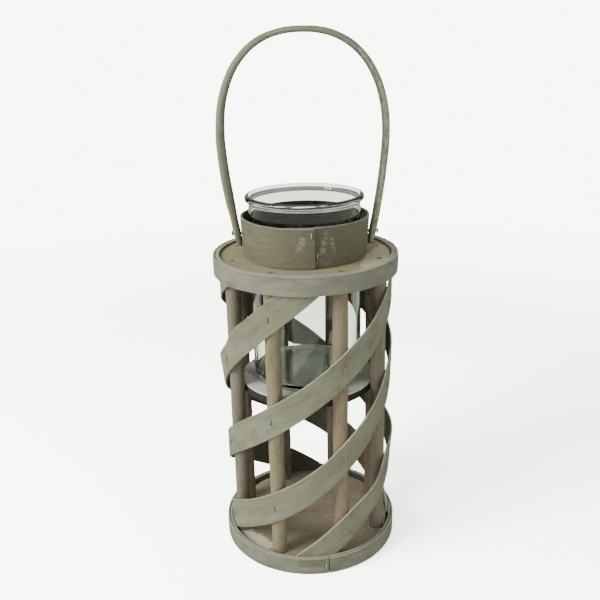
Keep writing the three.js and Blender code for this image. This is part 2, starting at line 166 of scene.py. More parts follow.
@dataclass(frozen=True)
class Ripple:
    """A smooth wander: a few sine waves whose phases and lengths come from a seed."""

    seed: int
    waves: int = 7

    @property
    def number(self) -> np.ndarray:
        """1, 2, 3 and so on, one for each wave."""
        return np.arange(1, self.waves + 1)

    def _sum(self, turns: np.ndarray) -> np.ndarray:
        """The waves' sum, the nth divided by n, scaled to stay near 1."""
        phase = np.random.default_rng(self.seed).uniform(0.0, 2.0 * np.pi, self.waves)
        total = (np.sin(2.0 * np.pi * turns + phase) / self.number).sum(axis=-1)
        return total / math.sqrt((1.0 / self.number**2).sum())

    def line(self, place: np.ndarray, longest: float, height: float) -> np.ndarray:
        """A wander of about this height along a line, whose nth wave is n times shorter."""
        stretch = np.random.default_rng(self.seed + 1).uniform(0.8, 1.25, self.waves)
        return height * self._sum(place[..., None] * self.number * stretch / longest)

    def loop(self, angle: np.ndarray, height: float) -> np.ndarray:
        """A wander round a circle of angles in degrees, whose nth wave goes round n times."""
        return height * self._sum(angle[..., None] * self.number / 360.0)

    def sheet(self, u: np.ndarray, v: np.ndarray, lengths: tuple[float, float],
              height: float) -> np.ndarray:
        """A wander over a surface: each wave runs in its own direction, the longest this long."""
        one, other = np.random.default_rng(self.seed + 2).uniform(-1.0, 1.0, (2, self.waves)) * self.number
        return height * self._sum(u[..., None] * one / lengths[0] + v[..., None] * other / lengths[1])


@dataclass(frozen=True)
class Section:
    """The outline of a flat strip, as shares that a bent strip turns into places.

    across runs from 0 at the lower edge to 1 at the upper, beyond is how many rounding radii the
    point lies past that, and through runs from 0 on the inner face to 1 on the outer.
    """

    across: np.ndarray
    beyond: np.ndarray
    through: np.ndarray

    @classmethod
    def rounded(cls, face_points: int, edge_points: int, sharpness: float = 0.6) -> "Section":
        """Goes up the outer face, over the upper edge, down the inner face and under the lower.

        Each edge is half of a superellipse: beyond is |cos t|^p and through is
        (1 + sign(sin t) |sin t|^p) / 2 as t turns from 90 to -90 degrees, where p is the
        sharpness. The face's points lie closer together near the edges, by a cosine.

        Args:
            face_points: points on each face.
            edge_points: points round each edge.
            sharpness: 1 is a half circle, and 0 would be square.

        Returns:
            The outline.
        """
        even = np.linspace(0.0, 1.0, face_points + 2)[1:-1]
        face = 0.45 * even + 0.55 * (0.5 - 0.5 * np.cos(np.pi * even))
        turn = np.radians(np.linspace(90.0, -90.0, edge_points))
        out = np.abs(np.cos(turn)) ** sharpness
        depth = 0.5 + 0.5 * signed_power(np.sin(turn), sharpness)
        ones, zeros = np.ones(edge_points), np.zeros(face_points)
        across = np.concatenate([face, ones, face[::-1], np.zeros(edge_points)])
        beyond = np.concatenate([zeros, out, zeros, -out])
        through = np.concatenate([zeros + 1.0, depth, zeros, depth[::-1]])
        return cls(across[None, :], beyond[None, :], through[None, :])

    def heights(self, low: np.ndarray, high: np.ndarray, rounding: float) -> np.ndarray:
        """The outline's heights between a strip's lower and upper edges, rounded by this much."""
        return low + rounding + self.across * (high - low - 2.0 * rounding) + self.beyond * rounding


Fields = dict[str, np.ndarray]


def make_shell(name: str, rings: np.ndarray, fields: Fields, closed: bool = False,
               bevel: float = 0.0, crease: float = 38.0) -> Piece:
    """Makes a closed body from a grid of points whose columns run round it.

    Neighbouring rows are joined by quads. If the rows don't close on themselves, each end is
    closed by a fan of triangles to the middle of its last row. The faces are turned outwards by
    the sign of the body's volume, the sum of a . (b x c) over its triangles.

    Args:
        name: the piece's name.
        rings: points as (rows, columns, 3).
        fields: numbers or vectors for the same rows and columns, kept as attributes.
        closed: whether the last row joins the first.
        bevel: how far the open ends are drawn in to take off their corners.
        crease: the angle in degrees past which an edge is shaded sharp.

    Returns:
        The new object, at the origin.
    """
    grids = {"position": rings, **fields}
    if not closed and bevel > 0.0:
        grids = {key: np.concatenate([grid[:1], grid, grid[-1:]]) for key, grid in grids.items()}
        grids["position"] = bevelled(grids["position"], bevel)
    rings = grids["position"]
    rows, columns, _ = rings.shape
    index = np.arange(rows * columns).reshape(rows, columns)
    beside = np.roll(index, -1, axis=1)
    last = rows if closed else rows - 1
    above, above_beside = np.roll(index, -1, axis=0)[:last], np.roll(beside, -1, axis=0)[:last]
    quads = np.stack([index[:last], beside[:last], above_beside, above], axis=-1).reshape(-1, 4)
    fans = np.empty((0, 3), int)
    flat = {key: grid.reshape(rows * columns, -1) for key, grid in grids.items()}
    if not closed:
        centre = np.full(columns, rows * columns)
        foot = np.stack([beside[0], index[0], centre], axis=-1)
        head = np.stack([index[-1], beside[-1], centre + 1], axis=-1)
        fans = np.concatenate([foot, head])
        flat = {
            key: np.concatenate([values, [grids[key][0].reshape(columns, -1).mean(axis=0)],
                                 [grids[key][-1].reshape(columns, -1).mean(axis=0)]])
            for key, values in flat.items()
        }
    corners = np.concatenate([quads[:, [0, 1, 2]], quads[:, [0, 2, 3]], fans])
    spot = flat["position"] - flat["position"].mean(axis=0)
    a, b, c = (spot[corners[:, k]] for k in range(3))
    if np.einsum("ij,ij->i", a, np.cross(b, c)).sum() < 0.0:
        quads, fans = quads[:, ::-1], fans[:, ::-1]
    mesh = mesh_of(name, flat["position"], quads, fans)
    for key, values in flat.items():
        if key == "position":
            continue
        kind, entry = ("FLOAT", "value") if values.shape[1] == 1 else ("FLOAT_VECTOR", "vector")
        layer = mesh.attributes.new(key, kind, "POINT")
        layer.data.foreach_set(entry, np.ascontiguousarray(values, np.float32).ravel())
    mesh.set_sharp_from_angle(angle=math.radians(crease))
    piece = bpy.data.objects.new(name, mesh)
    bpy.context.scene.collection.objects.link(piece)
    return piece


def bevelled(rings: np.ndarray, size: float) -> np.ndarray:
    """Draws the first and last row in towards their middles, and the rows next to them back.

    Args:
        rings: points whose first two rows are alike, and whose last two are.
        size: how far each row moves.

    Returns:
        The points with the ends' corners taken off.
    """
    made = rings.copy()
    for end, inner, third in ((0, 1, 2), (-1, -2, -3)):
        middle = rings[end].mean(axis=0)
        inward = middle - rings[end]
        reach = np.linalg.norm(inward, axis=1, keepdims=True)
        made[end] += inward * np.minimum(size / np.maximum(reach, 1e-9), 0.5)
        back = rings[third].mean(axis=0) - middle
        made[inner] += back / max(np.linalg.norm(back), 1e-9) * size
    return made


def mesh_of(name: str, points: np.ndarray, quads: np.ndarray, triangles: np.ndarray) -> bpy.types.Mesh:
    """Puts points, quads and triangles into a new smooth mesh.

    Args:
        name: the mesh's name.
        points: places as (n, 3).
        quads: point numbers as (n, 4).
        triangles: point numbers as (n, 3).

    Returns:
        The mesh.
    """
    mesh = bpy.data.meshes.new(name)
    corners = np.concatenate([quads.ravel(), triangles.ravel()])
    starts = np.concatenate([4 * np.arange(len(quads)), 4 * len(quads) + 3 * np.arange(len(triangles))])
    mesh.vertices.add(len(points))
    mesh.vertices.foreach_set("co", np.ascontiguousarray(points, np.float32).ravel())
    mesh.loops.add(len(corners))
    mesh.loops.foreach_set("vertex_index", corners.astype(np.int32))
    mesh.polygons.add(len(starts))
    mesh.polygons.foreach_set("loop_start", starts.astype(np.int32))
    mesh.polygons.foreach_set("use_smooth", np.ones(len(starts), bool))
    mesh.update(calc_edges=True)
    return mesh


def turned(profile: np.ndarray, columns: int) -> tuple[np.ndarray, np.ndarray]:
    """Turns distances from the axis and heights about Z: (n, columns, 3) points, and the angles."""
    angle = np.linspace(0.0, 360.0, columns, endpoint=False)[None, :]
    return around(angle, profile[:, :1], profile[:, 1:]), angle


def arc(middle: tuple[float, float], radius: float, start: float, end: float, points: int) -> np.ndarray:
    """Points of an arc in a profile: middle + radius (cos t, sin t), t from start to end degrees."""
    turn = np.radians(np.linspace(start, end, points))
    return np.stack([middle[0] + radius * np.cos(turn), middle[1] + radius * np.sin(turn)], axis=1)


def line(start: tuple[float, float], end: tuple[float, float], points: int) -> np.ndarray:
    """Evenly spaced profile points from start up to, but without, end."""
    share = np.linspace(0.0, 1.0, points, endpoint=False)[:, None]
    return np.array(start) * (1.0 - share) + np.array(end) * share


# ---------------------------------------------------------------- node graphs


@dataclass
class Graph:
    """Adds nodes to one node tree and links them as they are made."""

    tree: bpy.types.NodeTree

    def add(self, kind: str, inputs: dict[str | int, Setting] | None = None,
            **settings: object) -> bpy.types.Node:
        """Adds a node.

        Args:
            kind: the node's type.
            inputs: for each input, a socket to link from or a value.
            settings: the node's own properties.

        Returns:
            The node.
        """
        node = self.tree.nodes.new(kind)
        for key, value in settings.items():
            setattr(node, key, value)
        for key, value in (inputs or {}).items():
            self.join(value, node.inputs[key])
        return node

    def join(self, value: Setting, socket: Socket) -> None:
        """Links a socket to an input, or sets the input's value."""
        if isinstance(value, Socket):
            self.tree.links.new(value, socket)
        elif isinstance(value, tuple) and socket.type == "RGBA" and len(value) == 3:
            socket.default_value = (*value, 1.0)
        else:
            socket.default_value = value

    def math(self, operation: str, a: Setting, b: Setting = 0.0) -> Socket:
        """The result of a Math node on two values."""
        return self.add("ShaderNodeMath", {0: a, 1: b}, operation=operation).outputs[0]

    def mix(self, share: Setting, a: Setting, b: Setting, blend: str = "MIX") -> Socket:
        """Two colours mixed by a share."""
        node = self.add("ShaderNodeMix", data_type="RGBA", blend_type=blend)
        for socket, value in zip((node.inputs[0], node.inputs[6], node.inputs[7]), (share, a, b)):
            self.join(value, socket)
        return node.outputs[2]

    def ramp(self, value: Setting, low: float, high: float, start: float = 0.0,
             end: float = 1.0) -> Socket:
        """Maps a value smoothly from low..high to start..end."""
        inputs = {"Value": value, "From Min": low, "From Max": high, "To Min": start, "To Max": end}
        node = self.add("ShaderNodeMapRange", inputs, interpolation_type="SMOOTHSTEP")
        return node.outputs["Result"]

    def stretch(self, place: Setting, scale: tuple, turn: float = 0.0) -> Socket:
        """A place scaled each way, after a turn about its third axis."""
        inputs = {"Vector": place, "Scale": scale, "Rotation": (0.0, 0.0, turn)}
        return self.add("ShaderNodeMapping", inputs).outputs[0]

    def scaled(self, value: Setting, share: Setting) -> Socket:
        """A value times a share."""
        return self.math("MULTIPLY", value, share)

    def noise(self, place: Setting, scale: Setting, detail: float, roughness: float = 0.5,
              warp: float = 0.0) -> Socket:
        """A noise value at a place."""
        inputs = {"Vector": place, "Scale": scale, "Detail": detail, "Roughness": roughness,
                  "Distortion": warp}
        return self.add("ShaderNodeTexNoise", inputs).outputs["Fac"]

    def attribute(self, name: str, output: str = "Fac") -> Socket:
        """One of the piece's own attributes."""
        return self.add("ShaderNodeAttribute", attribute_name=name).outputs[output]


class SharedEffect:
    """A node group that is built once and placed in each material with its own values."""

    title = ""
    inputs: dict[str, tuple[str, float]] = {}
    outputs: tuple[str, ...] = ()

    @classmethod
    def group(cls) -> bpy.types.NodeTree:
        """The effect's node group, built at its first use."""
        if cls.title in bpy.data.node_groups:
            return bpy.data.node_groups[cls.title]
        tree = bpy.data.node_groups.new(cls.title, "ShaderNodeTree")
        for name, (kind, start) in cls.inputs.items():
            socket = tree.interface.new_socket(name, in_out="INPUT", socket_type=kind)
            if kind == "NodeSocketFloat":
                socket.default_value = start
        for name in cls.outputs:
            tree.interface.new_socket(name, in_out="OUTPUT", socket_type="NodeSocketFloat")
        graph = Graph(tree)
        source = graph.add("NodeGroupInput").outputs
        found = cls.build(graph, source)
        graph.add("NodeGroupOutput", dict(zip(cls.outputs, found)))
        return tree

    @classmethod
    def build(cls, graph: Graph, source: Sockets) -> tuple:
        """Adds the effect's nodes and returns its outputs in order."""
        raise NotImplementedError

    @classmethod
    def place(cls, graph: Graph, inputs: dict[str, Setting]) -> Sockets:
        """Places the effect in a material and returns its outputs."""
        return graph.add("ShaderNodeGroup", inputs, node_tree=cls.group()).outputs


class SplitGrain(SharedEffect):
    """Long fibres, broader streaks, short pores and stray scratches of split wood."""

    title = "split_grain"
    inputs = {
        "Plank": ("NodeSocketVector", 0.0),
        "Fineness": ("NodeSocketFloat", 1.0),
    }
    outputs = ("Fibres", "Streaks", "Pores", "Scratches")
    wander_scale = (9.0, 60.0, 60.0)
    wander_reach = 0.006
    fibre_scale = (55.0, 1900.0, 900.0)
    streak_scale = (11.0, 230.0, 160.0)
    pore_scale = (260.0, 3600.0, 1800.0)
    scratch_scale = (1500.0, 60.0, 500.0)
    scratch_slant = math.radians(27.0)
    scratch_patches = 85.0

    @classmethod
    def build(cls, graph: Graph, source: Sockets) -> tuple:
        """Noises drawn out along the plank: the finer the pattern, the more it is drawn out."""
        wander = graph.noise(graph.stretch(source["Plank"], cls.wander_scale), 1.0, 2.0)
        shift = graph.add("ShaderNodeCombineXYZ", {"Y": graph.scaled(wander, cls.wander_reach)}).outputs[0]
        plank = graph.add("ShaderNodeVectorMath", {0: source["Plank"], 1: shift}, operation="ADD").outputs[0]
        fine = source["Fineness"]
        fibres = graph.noise(graph.stretch(plank, cls.fibre_scale), fine, 5.0, 0.62)
        streaks = graph.noise(graph.stretch(plank, cls.streak_scale), fine, 4.0, 0.55, 0.4)
        pores = graph.noise(graph.stretch(plank, cls.pore_scale), fine, 2.0, 0.5)
        slanted = graph.stretch(plank, cls.scratch_scale, cls.scratch_slant)
        slant = graph.noise(slanted, 1.0, 2.0, 0.6)
        break_up = graph.noise(plank, cls.scratch_patches, 2.0)
        scratches = graph.scaled(graph.ramp(slant, 0.66, 0.74), graph.ramp(break_up, 0.5, 0.6))
        return (graph.ramp(fibres, 0.32, 0.7), graph.ramp(streaks, 0.34, 0.68),
                graph.ramp(pores, 0.61, 0.74), scratches)


class RubbedEdge(SharedEffect):
    """A ragged band along the sawn edges where handling has rubbed the colour off, and along the
    edges of the pale marks that rim also measures, some of them painted light.
    """

    title = "rubbed_edge"
    inputs = {
        "Plank": ("NodeSocketVector", 0.0),
        "Rim": ("NodeSocketFloat", 0.0),
        "Reach": ("NodeSocketFloat", 0.001),
    }
    outputs = ("Rubbed", "Beside")
    ragged_scale = (140.0, 420.0, 420.0)
    reach_shares = (0.25, 1.9)

    @classmethod
    def build(cls, graph: Graph, source: Sockets) -> tuple:
        """1 at the edge, falling to 0 at a reach that a noise makes longer and shorter."""
        ragged = graph.noise(graph.stretch(source["Plank"], cls.ragged_scale), 1.0, 4.0, 0.65)
        reach = graph.scaled(source["Reach"], graph.ramp(ragged, 0.34, 0.68, *cls.reach_shares))
        share = graph.math("DIVIDE", source["Rim"], reach)
        return graph.ramp(share, 0.35, 1.0, 1.0, 0.0), graph.ramp(share, 1.0, 5.0, 1.0, 0.0)


class Blotches(SharedEffect):
    """Cloudy patches where a wash has soaked in unevenly, and small specks."""

    title = "wash_blotches"
    inputs = {
        "Plank": ("NodeSocketVector", 0.0),
        "Spread": ("NodeSocketFloat", 0.5),
    }
    outputs = ("Clouds", "Specks", "Film", "Stains")
    cloud_scale = (26.0, 62.0, 62.0)
    film_scale = (70.0, 190.0, 190.0)
    stain_scale = (38.0, 95.0, 95.0)
    speck_scale = 620.0

    @classmethod
    def build(cls, graph: Graph, source: Sockets) -> tuple:
        """Noises from a few centimetres to a millimetre across, each cut off at its own level."""
        plank = source["Plank"]
        broad = graph.noise(graph.stretch(plank, cls.cloud_scale), 1.0, 6.0, 0.62, 0.6)
        edge = graph.scaled(graph.math("SUBTRACT", 1.0, source["Spread"]), 0.4)
        fine = graph.noise(plank, cls.speck_scale, 3.0, 0.6)
        film = graph.noise(graph.stretch(plank, cls.film_scale), 1.0, 5.0, 0.7, 1.0)
        soaked = graph.noise(graph.stretch(plank, cls.stain_scale), 1.0, 5.0, 0.68, 0.5)
        return (graph.ramp(graph.math("SUBTRACT", broad, edge), 0.24, 0.46),
                graph.ramp(fine, 0.66, 0.76), graph.ramp(film, 0.4, 0.64),
                graph.ramp(soaked, 0.5, 0.68))


class Tarnish(SharedEffect):
    """Dull patches and drawn lines on metal."""

    title = "tarnish"
    inputs = {
        "Place": ("NodeSocketVector", 0.0),
        "Cover": ("NodeSocketFloat", 0.3),
    }
    outputs = ("Dull", "Lines")
    patch_scale = 520.0
    line_scale = (5200.0, 5200.0, 300.0)

    @classmethod
    def build(cls, graph: Graph, source: Sockets) -> tuple:
        """A noise against the share that is covered, and fine lines along the height."""
        patches = graph.noise(source["Place"], cls.patch_scale, 4.0, 0.65)
        edge = graph.scaled(graph.math("SUBTRACT", 1.0, source["Cover"]), 0.5)
        lines = graph.noise(graph.stretch(source["Place"], cls.line_scale), 1.0, 2.0)
        return graph.ramp(graph.math("SUBTRACT", patches, edge), 0.2, 0.34), graph.ramp(lines, 0.35, 0.65)


# ---------------------------------------------------------------- finishes


def new_material(name: str) -> tuple[bpy.types.Material, Graph, bpy.types.Node]:
    """Starts a material.

    Args:
        name: the material's name.

    Returns:
        The material, its graph, and its Principled node.
    """
    material = bpy.data.materials.new(name)
    material.use_nodes = True
    material.node_tree.nodes.clear()
    graph = Graph(material.node_tree)
    shader = graph.add("ShaderNodeBsdfPrincipled")
    graph.add("ShaderNodeOutputMaterial", {"Surface": shader.outputs[0]})
    return material, graph, shader


@dataclass(frozen=True)
class WoodFinish:
    """Weathered wood under a thin grey wash.

    The colours are linear. ground is the washed wood, shade its fibres, warm the wood that shows
    through, cloud the wash where it lies thick, and bare_and_lit the rubbed edges and the pale
    marks, some of which are painted light. inside is how dark the faces turned to the jar are
    painted: painted shade, except on the shelf, whose dark edge it colours and whose underside it darkens.
    """

    name: str
    ground: Color
    shade: Color
    warm: Color
    cloud: Color
    bare_and_lit: Color
    fibres: float = 0.55
    warmth: float = 0.5
    clouds: float = 0.35
    stains: float = 0.3
    spread: float = 0.5
    rub: float = 0.85
    rub_reach: float = 1.0 * MM
    # How dark the faces turned towards the jar are painted: painted shade, and on the shelf its dark edge.
    inside: float = 0.4
    fineness: float = 1.0
    roughness: float = 0.7
    relief: float = 0.22 * MM
    sheen: float = 0.32
    pores: float = 0.5
    specks: float = 0.5
    scratches: float = 0.55
    beside_edge: float = 0.16
    fibre_roughness: float = 0.14
    rubbed_roughness: float = -0.12
    # The face values over which that painted shade fades out.
    turned_in: tuple[float, float] = (0.12, 0.55)

    def material(self) -> bpy.types.Material:
        """The finish's material, made at its first use."""
        if self.name in bpy.data.materials:
            return bpy.data.materials[self.name]
        material, graph, shader = new_material(self.name)
        plank = graph.attribute("plank", "Vector")
        grain = SplitGrain.place(graph, {"Plank": plank, "Fineness": self.fineness})
        edge_inputs = {"Plank": plank, "Rim": graph.attribute("rim"), "Reach": self.rub_reach}
        edge = RubbedEdge.place(graph, edge_inputs)
        wash = Blotches.place(graph, {"Plank": plank, "Spread": self.spread})
        rubbed = graph.scaled(edge["Rubbed"], self.rub)
        graph.join(self._color(graph, grain, edge, wash, rubbed), shader.inputs["Base Color"])
        rough = graph.math("ADD", graph.scaled(grain["Fibres"], self.fibre_roughness), self.roughness)
        smooth = graph.scaled(rubbed, self.rubbed_roughness)
        graph.join(graph.math("ADD", rough, smooth), shader.inputs["Roughness"])
        shader.inputs["Specular IOR Level"].default_value = self.sheen
        graph.join(self._relief(graph, grain, wash), shader.inputs["Normal"])
        return material

    def _color(self, graph: Graph, grain: Sockets,
               edge: Sockets, wash: Sockets,
               rubbed: Socket) -> Socket:
        """Lays the colours over each other.

        Args:
            graph: the material's graph.
            grain: the grain's outputs.
            edge: the rubbed edge's outputs.
            wash: the wash's outputs.
            rubbed: how much of the surface takes the bare_and_lit colour: worn edges, and pale
            marks, some of them painted light.

        Returns:
            The base colour.
        """
        layers = (
            (grain["Streaks"], self.warmth, self.warm), (wash["Clouds"], self.clouds, self.cloud),
            (wash["Film"], 0.5 * self.clouds, self.ground), (grain["Fibres"], self.fibres, self.shade),
            (grain["Pores"], self.pores, self.shade), (wash["Stains"], self.stains, self.shade),
            (wash["Specks"], self.specks, self.bare_and_lit), (grain["Scratches"], self.scratches, self.bare_and_lit),
            (edge["Beside"], self.beside_edge, self.shade),
        )
        color = self.ground
        for mask, share, layer in layers:
            color = graph.mix(graph.scaled(mask, share), color, layer)
        # Worn edges and the pale marks, some of them painted light, take the bare_and_lit colour.
        color = graph.mix(rubbed, color, self.bare_and_lit)
        # Painted shade: the faces turned towards the jar are darkened by inside; on the shelf this also gives the
        # edge its own dark colour.
        inward = graph.ramp(graph.attribute("face"), *self.turned_in, self.inside, 1.0)
        inner_shade_and_dark_edge = graph.add("ShaderNodeCombineColor", {0: inward, 1: inward, 2: inward}).outputs[0]
        return graph.mix(1.0, color, inner_shade_and_dark_edge, "MULTIPLY")

    def _relief(self, graph: Graph, grain: Sockets,
                wash: Sockets) -> Socket:
        """The bump: fibres, pores and scratches sink, and the wash's film stands a little proud."""
        height = graph.scaled(grain["Fibres"], -0.6)
        for mask, share in ((grain["Pores"], -0.7), (grain["Scratches"], -0.5), (wash["Film"], 0.25)):
            height = graph.math("ADD", height, graph.scaled(mask, share))
        inputs = {"Height": height, "Distance": self.relief, "Strength": 0.85}
        return graph.add("ShaderNodeBump", inputs).outputs[0]


@dataclass(frozen=True)
class SteelFinish:
    """Drawn steel, dulled in patches or brushed over with the wood's wash."""

    name: str
    metal: Color = (0.62, 0.61, 0.58)
    dull: Color = (0.16, 0.15, 0.12)
    cover: float = 0.3
    roughness: float = 0.3

    def material(self) -> bpy.types.Material:
        """The finish's material, made at its first use."""
        if self.name in bpy.data.materials:
            return bpy.data.materials[self.name]
        material, graph, shader = new_material(self.name)
        place = graph.add("ShaderNodeTexCoord").outputs["Object"]
        worn = Tarnish.place(graph, {"Place": place, "Cover": self.cover})
        graph.join(graph.mix(worn["Dull"], self.metal, self.dull), shader.inputs["Base Color"])
        graph.join(graph.math("SUBTRACT", 1.0, worn["Dull"]), shader.inputs["Metallic"])
        rough = graph.math("ADD", graph.scaled(worn["Dull"], 0.4), self.roughness)
        graph.join(rough, shader.inputs["Roughness"])
        inputs = {"Height": worn["Lines"], "Distance": 0.02 * MM, "Strength": 0.5}
        graph.join(graph.add("ShaderNodeBump", inputs).outputs[0], shader.inputs["Normal"])
        return material


@dataclass(frozen=True)
class GlassFinish:
    """Clear pressed glass: faint smears, and a surface that waves a little."""

    name: str = "pressed_glass"
    tint: Color = (0.925, 0.96, 0.91)
    waves: float = 0.25 * MM
    smear: float = 0.07
    index: float = 1.5
    smear_scale: tuple[float, float, float] = (30.0, 30.0, 12.0)
    wave_scale: tuple[float, float, float] = (26.0, 26.0, 9.0)

    def material(self) -> bpy.types.Material:
        """The finish's material, made at its first use."""
        if self.name in bpy.data.materials:
            return bpy.data.materials[self.name]
        material, graph, shader = new_material(self.name)
        shader.inputs["Base Color"].default_value = (*self.tint, 1.0)
        shader.inputs["Transmission Weight"].default_value = 1.0
        shader.inputs["IOR"].default_value = self.index
        place = graph.add("ShaderNodeTexCoord").outputs["Object"]
        smears = graph.noise(graph.stretch(place, self.smear_scale), 1.0, 4.0, 0.6, 0.8)
        graph.join(graph.ramp(smears, 0.5, 0.75, 0.0, self.smear), shader.inputs["Roughness"])
        slow = graph.noise(graph.stretch(place, self.wave_scale), 1.0, 1.0)
        inputs = {"Height": slow, "Distance": self.waves, "Strength": 0.6}
        graph.join(graph.add("ShaderNodeBump", inputs).outputs[0], shader.inputs["Normal"])
        return material


SLAT_WOOD = WoodFinish(
    "washed_slat", ground=(0.265, 0.27, 0.185), shade=(0.14, 0.138, 0.09), warm=(0.25, 0.22, 0.145),
    cloud=(0.33, 0.35, 0.26), bare_and_lit=(0.62, 0.57, 0.41), fibres=0.28, clouds=0.8, stains=0.55,
    rub_reach=0.55 * MM, inside=0.5,
)
HOOP_WOOD = replace(SLAT_WOOD, name="washed_hoop", ground=(0.265, 0.27, 0.21), rub=0.8,
                    rub_reach=0.5 * MM, bare_and_lit=(0.5, 0.48, 0.37), fibres=0.4, stains=0.6, inside=0.5)
COLLAR_WOOD = WoodFinish(
    "dark_collar", ground=(0.165, 0.16, 0.105), shade=(0.08, 0.075, 0.048), warm=(0.22, 0.2, 0.115),
    cloud=(0.22, 0.225, 0.17), bare_and_lit=(0.32, 0.31, 0.235), fibres=0.3, clouds=0.75, spread=0.42,
    rub_reach=0.8 * MM, inside=0.35, roughness=0.6,
)
HANDLE_WOOD = WoodFinish(
    "dark_handle", ground=(0.3, 0.305, 0.205), shade=(0.11, 0.105, 0.065), warm=(0.33, 0.32, 0.22),
    cloud=(0.31, 0.325, 0.245), bare_and_lit=(0.45, 0.43, 0.31), fibres=0.5, clouds=0.4, rub_reach=0.6 * MM,
    inside=0.5, roughness=0.47, sheen=0.45,
)
BOARD_WOOD = WoodFinish(
    "sawn_board", ground=(0.46, 0.41, 0.24), shade=(0.2, 0.175, 0.1), warm=(0.36, 0.3, 0.17),
    cloud=(0.44, 0.42, 0.27), bare_and_lit=(0.74, 0.7, 0.47), fibres=0.35, clouds=0.5, rub=0.6, inside=1.0,
    fineness=0.8,
)
# The base's and the shelf's pale bare_and_lit colours also paint their pools of light.
BASE_WOOD = replace(BOARD_WOOD, name="sawn_base", ground=(0.40, 0.335, 0.235), rub=0.75,
                    warm=(0.42, 0.315, 0.22), cloud=(0.45, 0.40, 0.31), bare_and_lit=(0.95, 0.9, 0.72))
SHELF_WOOD = WoodFinish(
    "shelf_top", ground=(0.62, 0.62, 0.52), shade=(0.32, 0.31, 0.25), warm=(0.5, 0.47, 0.38),
    cloud=(0.68, 0.69, 0.6), bare_and_lit=(0.96, 0.96, 0.9), fibres=0.3, rub=0.8, inside=0.06,
)
TAN_POST = WoodFinish(
    "tan_post", ground=(0.33, 0.295, 0.17), shade=(0.16, 0.14, 0.08), warm=(0.28, 0.22, 0.13),
    cloud=(0.34, 0.34, 0.23), bare_and_lit=(0.5, 0.45, 0.3), fibres=0.5, clouds=0.7,
    stains=0.6, rub=0.0, inside=0.8,
)
PINK_POST = replace(TAN_POST, name="pink_post", ground=(0.33, 0.25, 0.16), warm=(0.27, 0.18, 0.115),
                    shade=(0.18, 0.135, 0.085), cloud=(0.36, 0.31, 0.23))
GREY_POST = replace(TAN_POST, name="grey_post", ground=(0.27, 0.245, 0.18), warm=(0.24, 0.19, 0.14),
                    shade=(0.13, 0.115, 0.08), cloud=(0.3, 0.3, 0.23))
BRIGHT_STEEL = SteelFinish("bright_steel")
WASHED_STEEL = SteelFinish("washed_steel", dull=(0.28, 0.28, 0.2), cover=0.85)
NAIL_STEEL = SteelFinish("dull_nail", metal=(0.45, 0.43, 0.38), dull=(0.2, 0.17, 0.11), cover=0.65,
                         roughness=0.42)
PRESSED_GLASS = GlassFinish()

Finish = WoodFinish | SteelFinish | GlassFinish


def hand_over(piece: Piece, finish: Finish, slot: Slot, body: Body, *nodes: str) -> None:
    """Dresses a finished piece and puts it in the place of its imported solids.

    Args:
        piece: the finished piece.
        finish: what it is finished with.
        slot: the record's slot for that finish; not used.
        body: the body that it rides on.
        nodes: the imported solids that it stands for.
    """
    piece.data.materials.append(finish.material())
    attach(piece, body.value)
    if nodes:
        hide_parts(*nodes)
    LOG.info("%s: %d faces, %s", piece.name, len(piece.data.polygons), finish.name)


def plank_offset(seed: int) -> np.ndarray:
    """Where in its log a piece was cut, so that no two pieces show the same grain."""
    return np.random.default_rng(seed).uniform(-4.0, 4.0, 3)


def wooden(name: str, points: np.ndarray, plank: tuple[np.ndarray, ...], rim: np.ndarray,
           face: np.ndarray, seed: int, closed: bool = False, bevel: float = 0.4 * MM,
           ) -> Piece:
    """Makes a wooden piece with its three attributes.

    Args:
        name: the piece's name.
        points: its surface as (rows, columns, 3).
        plank: places along, across and through the straight piece of wood.
        rim: distances to the nearest sawn edge.
        face: 0 on the side that faces the jar, and 1 on the side that faces out.
        seed: chooses where in its log it was cut.
        closed: whether the last row joins the first.
        bevel: how far the open ends are drawn in.

    Returns:
        The piece.
    """
    *place, rim, face = (np.broadcast_to(part, points.shape[:2]) for part in (*plank, rim, face))
    fields = {"plank": np.stack(place, axis=-1) + plank_offset(seed), "rim": rim[..., None],
              "face": face[..., None]}
    return make_shell(name, points, fields, closed, bevel)


# ---------------------------------------------------------------- boards


